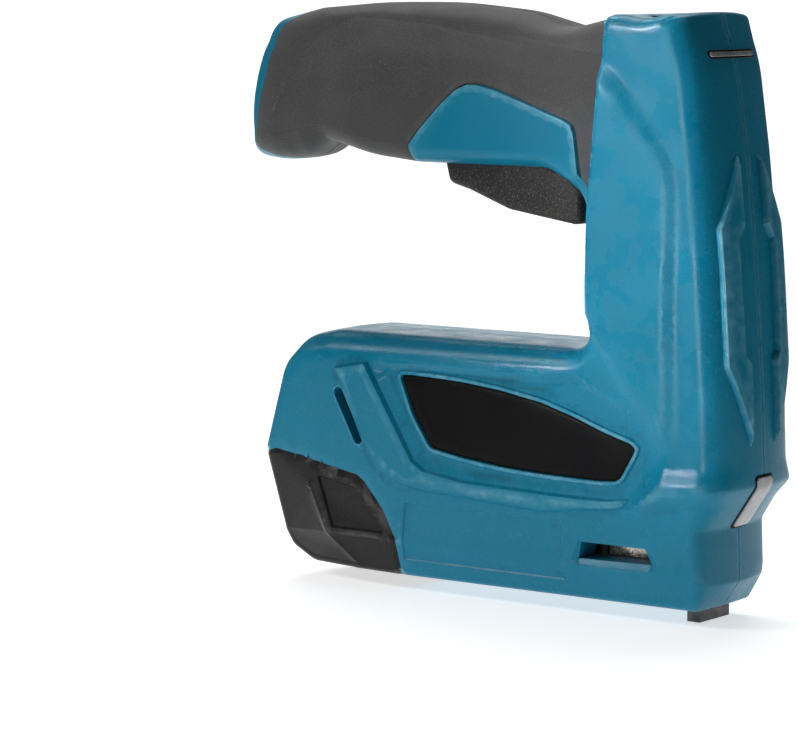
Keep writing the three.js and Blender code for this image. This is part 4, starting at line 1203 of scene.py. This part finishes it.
class STAPLER_OT_front(bpy.types.Operator):
    """Builds the ribs, the charge bar and the work light of the front face"""
    bl_idname = "stapler.front"
    bl_label = "Front trims"

    def execute(self, context):
        rim = body_rim()
        rim.top = body_height(rim.inner, False)
        height = context.scene.stapler_parts.rib_height
        for left in (False, True):
            sign = 1 if left else -1
            outline = [(sign * y, float(front_length(rim, z))) for y, z in RIB]
            points, faces = draped(rim, outline, height, 0.8, 2.4)
            make_piece("front_rib_" + other_side(left), points, faces, "teal_shell", "body",
                       24.0)
        for name, half, grow, lift, finish, slot, replaced in (
                ("charge_bar_frame", 13.1, 0.55, 0.22, "black_gloss", "black_gloss", ()),
                ("charge_bar", 12.5, 0.0, 0.5, "smoked_lens", "smoked_lens", ("indicator_lens",))):
            low = float(front_length(rim, BAR_FOOT - grow))
            high = float(front_length(rim, BAR_TOP + grow))
            radius = abs(high - low) / 2
            outline = capsule(((-half + radius, (low + high) / 2), (half - radius, (low + high) / 2)), radius)
            points, faces = draped(rim, outline, lift, 0.3, 1.2)
            make_piece(name, points, faces, finish, "body", 30.0, replaced)
        start = float(front_length(rim, WORK_LIGHT_TOP))
        end = float(rim.along()[rim.marks[6]]) + 0.6
        for name, half, grow, lift, finish, slot, replaced in (
                ("work_light_frame", 5.2, 0.7, 0.25, "black_gloss", "black_gloss", ()),
                ("work_light_window", 4.5, 0.0, 0.6, "smoked_lens", "smoked_lens", ("work_light_lens",))):
            outline = [(-half, start + 1 - grow), (-half + 1, start - grow), (half - 1, start - grow),
                       (half, start + 1 - grow), (half, end + grow - 1), (half - 1, end + grow),
                       (-half + 1, end + grow), (-half, end + grow - 1)]
            points, faces = draped(rim, outline, lift, 0.4, 1.0)
            make_piece(name, points, faces, finish, "body", 30.0, replaced)
        return {"FINISHED"}


class STAPLER_OT_port(bpy.types.Operator):
    """Builds the charging port in the rear of the handle"""
    bl_idname = "stapler.port"
    bl_label = "Charging port"

    def execute(self, context):
        _, rim = handle_half(False, context.scene.stapler_look.seam)
        rear = slice(rim.marks[11] + 5, rim.marks[14])
        place = float(np.interp(PORT_HEIGHT, rim.outer[rear, 1], rim.along()[rear]))
        # The mouth is a near-black capsule of painted shade standing in for the port's opening.
        for name, half, tall, lift, finish, slot in (
                ("charge_port_rim", 5.6, 2.5, 0.3, "black_gloss", "black_gloss"),
                ("charge_port_mouth", 4.6, 1.6, 0.34, "painted_hole_shade", "black_gloss"),
                ("charge_port_tongue", 3.3, 0.4, 0.42, "nickel", "nickel")):
            outline = capsule(((-half + tall, place), (half - tall, place)), tall)
            points, faces = draped(rim, outline, lift, 0.3, 1.0, 0.3, -1.0)
            make_piece(name, points, faces, finish, "body")
        return {"FINISHED"}


class STAPLER_OT_trigger(bpy.types.Operator):
    """Builds the trigger with its rounded edges and coarse grain"""
    bl_idname = "stapler.trigger"
    bl_label = "Trigger"

    def execute(self, context):
        points, faces = rounded_plate(TRIGGER_OUTLINE, TRIGGER_HALF, 2.2, 2.4)
        make_piece("trigger_lever", points, faces, "trigger_black", "trigger", 32.0,
                   ("trigger",))
        return {"FINISHED"}


class STAPLER_OT_screws(bpy.types.Operator):
    """Builds the cross-head screws in the wells of the left half"""
    bl_idname = "stapler.screws"
    bl_label = "Screw heads"

    def execute(self, context):
        turns = context.scene.stapler_parts.thread_turns
        for number, (x, z) in enumerate(SCREW_WELLS):
            place = np.array([[x, z]])
            deck = handle_height(place, True)[0] if z > 140 and x < -36 else body_height(place, True)[0]
            profile = [(0.05, 2.75), (0.9, 2.75), (1.25, 2.5), (1.5, 1.9), (1.6, 1.0), (1.62, 0.55),
                       (0.7, 0.35), (0.6, 0.001)]
            points, faces = turned(profile, (x, deck, z), turns)
            shift = len(points)
            # The cross recess is two flat near-black quads of painted shade laid on the head.
            for angle in (math.pi / 4, 3 * math.pi / 4):
                along = np.array([math.cos(angle), 0, math.sin(angle)])
                aside = np.array([-math.sin(angle), 0, math.cos(angle)])
                base = np.array([x, deck + 1.64, z])
                points += [base + along * a + aside * b for a, b in ((-1.7, -0.3), (1.7, -0.3), (1.7, 0.3),
                                                                     (-1.7, 0.3))]
                faces.append((shift, shift + 1, shift + 2, shift + 3))
                shift += 4
            labels = [0] * (len(faces) - 2) + [1, 1]
            make_piece("screw_head_%d" % (number + 1), points, faces, "black_steel", "body",
                       30.0, (), "painted_hole_shade", labels)
        return {"FINISHED"}


class STAPLER_OT_inner_parts(bpy.types.Operator):
    """Gives every part of the frame that stays in view its finish"""
    bl_idname = "stapler.inner_parts"
    bl_label = "Inner parts"

    def execute(self, context):
        for name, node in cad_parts.items():
            slots = [s.material.name.split(".")[0] for s in node.material_slots if s.material]
            if not slots:
                raise RuntimeError("node without a slot: " + name)
            finish = "magazine_black" if name == "magazine_grip" else slots[0]
            for slot in node.material_slots:
                slot.material = material(finish)
        return {"FINISHED"}


class STAPLER_OT_stage(bpy.types.Operator):
    """Builds the floor, the wall, the lights and the camera"""
    bl_idname = "stapler.stage"
    bl_label = "Stage"

    def execute(self, context):
        stage = context.scene.stapler_stage
        scene = context.scene
        turn, tilt = stage.turn, stage.tilt
        away = np.array([-math.sin(turn), math.cos(turn), 0])
        aside = np.array([math.cos(turn), math.sin(turn), 0])
        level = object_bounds()[0].z - 0.0006

        def sheet(name, corners, glow):
            paper = Finish("stage_" + name)
            tone = paper.mix(paper.span(paper.noise(3.0), 0.3, 0.7), (0.93, 0.93, 0.93), (0.95, 0.95, 0.95))
            paper.link(tone, paper.shader.inputs["Base Color"])
            paper.shader.inputs["Roughness"].default_value = 0.9
            paper.shader.inputs["Emission Color"].default_value = (1, 1, 1, 1)
            paper.shader.inputs["Emission Strength"].default_value = glow
            mesh = bpy.data.meshes.new(name)
            mesh.from_pydata([list(away * run + aside * side + np.array([0, 0, level + rise]))
                              for run, side, rise in corners], [], [(0, 1, 2, 3)])
            mesh.materials.append(paper.material)
            made = bpy.data.objects.new(name, mesh)
            scene.collection.objects.link(made)
            made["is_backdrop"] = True

        sheet("studio_floor", ((-0.45, -0.5, 0), (-0.45, 0.5, 0), (0.9, 0.5, 0), (0.9, -0.5, 0)), 0.6)
        sheet("studio_wall", ((2.3, -0.6, -0.1), (2.3, 0.6, -0.1), (2.3, 0.6, 1.0), (2.3, -0.6, 1.0)), 1.05)

        def lamp(name, place, target, width, depth, power, spread=180):
            data = bpy.data.lights.new(name, "AREA")
            data.shape, data.size, data.size_y, data.energy = "RECTANGLE", width, depth, power
            data.spread = math.radians(spread)
            made = bpy.data.objects.new(name, data)
            made.location = Vector(place)
            made.rotation_euler = (Vector(target) - Vector(place)).to_track_quat("-Z", "Y").to_euler()
            scene.collection.objects.link(made)

        middle = (0.0, 0.0, 0.10)
        lamp("key_light", (-0.8, -0.9, 1.0), middle, 0.5, 0.5, stage.key_power)
        lamp("edge_light", (-0.01, -1.15, -0.02), (0.085, 0.0, 0.1), 0.05, 0.7, stage.edge_power)
        lamp("column_light", (-0.33, -0.58, 0.30), (0.088, 0.0, 0.128), 0.05, 0.16, stage.column_power, 11)
        lamp("top_light", (-0.25, 0.35, 0.95), middle, 0.9, 0.6, stage.top_power)
        world = bpy.data.worlds.new("studio")
        world.use_nodes = True
        tree = world.node_tree
        dim = tree.nodes["Background"]
        bright = tree.nodes.new("ShaderNodeBackground")
        seen = tree.nodes.new("ShaderNodeLightPath")
        join = tree.nodes.new("ShaderNodeMixShader")
        for shade, strength in ((dim, 0.07), (bright, 1.0)):
            shade.inputs[0].default_value = (1, 1, 1, 1)
            shade.inputs[1].default_value = strength
        tree.links.new(seen.outputs["Is Camera Ray"], join.inputs[0])
        tree.links.new(dim.outputs[0], join.inputs[1])
        tree.links.new(bright.outputs[0], join.inputs[2])
        tree.links.new(join.outputs[0], tree.nodes["World Output"].inputs[0])
        scene.world = world
        data = bpy.data.cameras.new("camera")
        data.sensor_width, data.lens = 36.0, stage.lens
        data.clip_start, data.clip_end = 0.05, 20
        camera = bpy.data.objects.new("camera", data)
        look = Vector((-math.sin(turn) * math.cos(tilt), math.cos(turn) * math.cos(tilt), -math.sin(tilt)))
        camera.location = Vector(to_metres((547.8, -892.6, 198.0)))
        camera.rotation_euler = look.to_track_quat("-Z", "Y").to_euler()
        scene.collection.objects.link(camera)
        scene.camera = camera
        scene.view_settings.view_transform = "Standard"
        return {"FINISHED"}


OPERATORS = (STAPLER_OT_shell, STAPLER_OT_grips, STAPLER_OT_magazine, STAPLER_OT_badges, STAPLER_OT_front,
             STAPLER_OT_port, STAPLER_OT_trigger, STAPLER_OT_screws, STAPLER_OT_inner_parts, STAPLER_OT_stage)


class STAPLER_PT_panel(bpy.types.Panel):
    """Lists the stapler's settings and steps"""
    bl_idname = "STAPLER_PT_panel"
    bl_label = "Electric stapler"
    bl_space_type = "VIEW_3D"
    bl_region_type = "UI"
    bl_category = "Stapler"

    def draw(self, context):
        for group in (context.scene.stapler_look, context.scene.stapler_parts, context.scene.stapler_stage):
            box = self.layout.box()
            for key in group.__annotations__:
                box.prop(group, key)
        for operator in OPERATORS:
            self.layout.operator(operator.bl_idname)


CLASSES = (StaplerLook, StaplerStage, StaplerParts, *OPERATORS, STAPLER_PT_panel)


def register():
    for cls in CLASSES:
        bpy.utils.register_class(cls)
    bpy.types.Scene.stapler_look = PointerProperty(type=StaplerLook)
    bpy.types.Scene.stapler_stage = PointerProperty(type=StaplerStage)
    bpy.types.Scene.stapler_parts = PointerProperty(type=StaplerParts)


def unregister():
    del bpy.types.Scene.stapler_parts
    del bpy.types.Scene.stapler_stage
    del bpy.types.Scene.stapler_look
    for cls in reversed(CLASSES):
        bpy.utils.unregister_class(cls)


def main():
    """Builds everything in order."""
    register()
    bpy.ops.stapler.shell()
    bpy.ops.stapler.grips()
    bpy.ops.stapler.magazine()
    bpy.ops.stapler.badges()
    bpy.ops.stapler.front()
    bpy.ops.stapler.port()
    bpy.ops.stapler.trigger()
    bpy.ops.stapler.screws()
    bpy.ops.stapler.inner_parts()
    bpy.ops.stapler.stage()


if __name__ == "__main__":
    main()
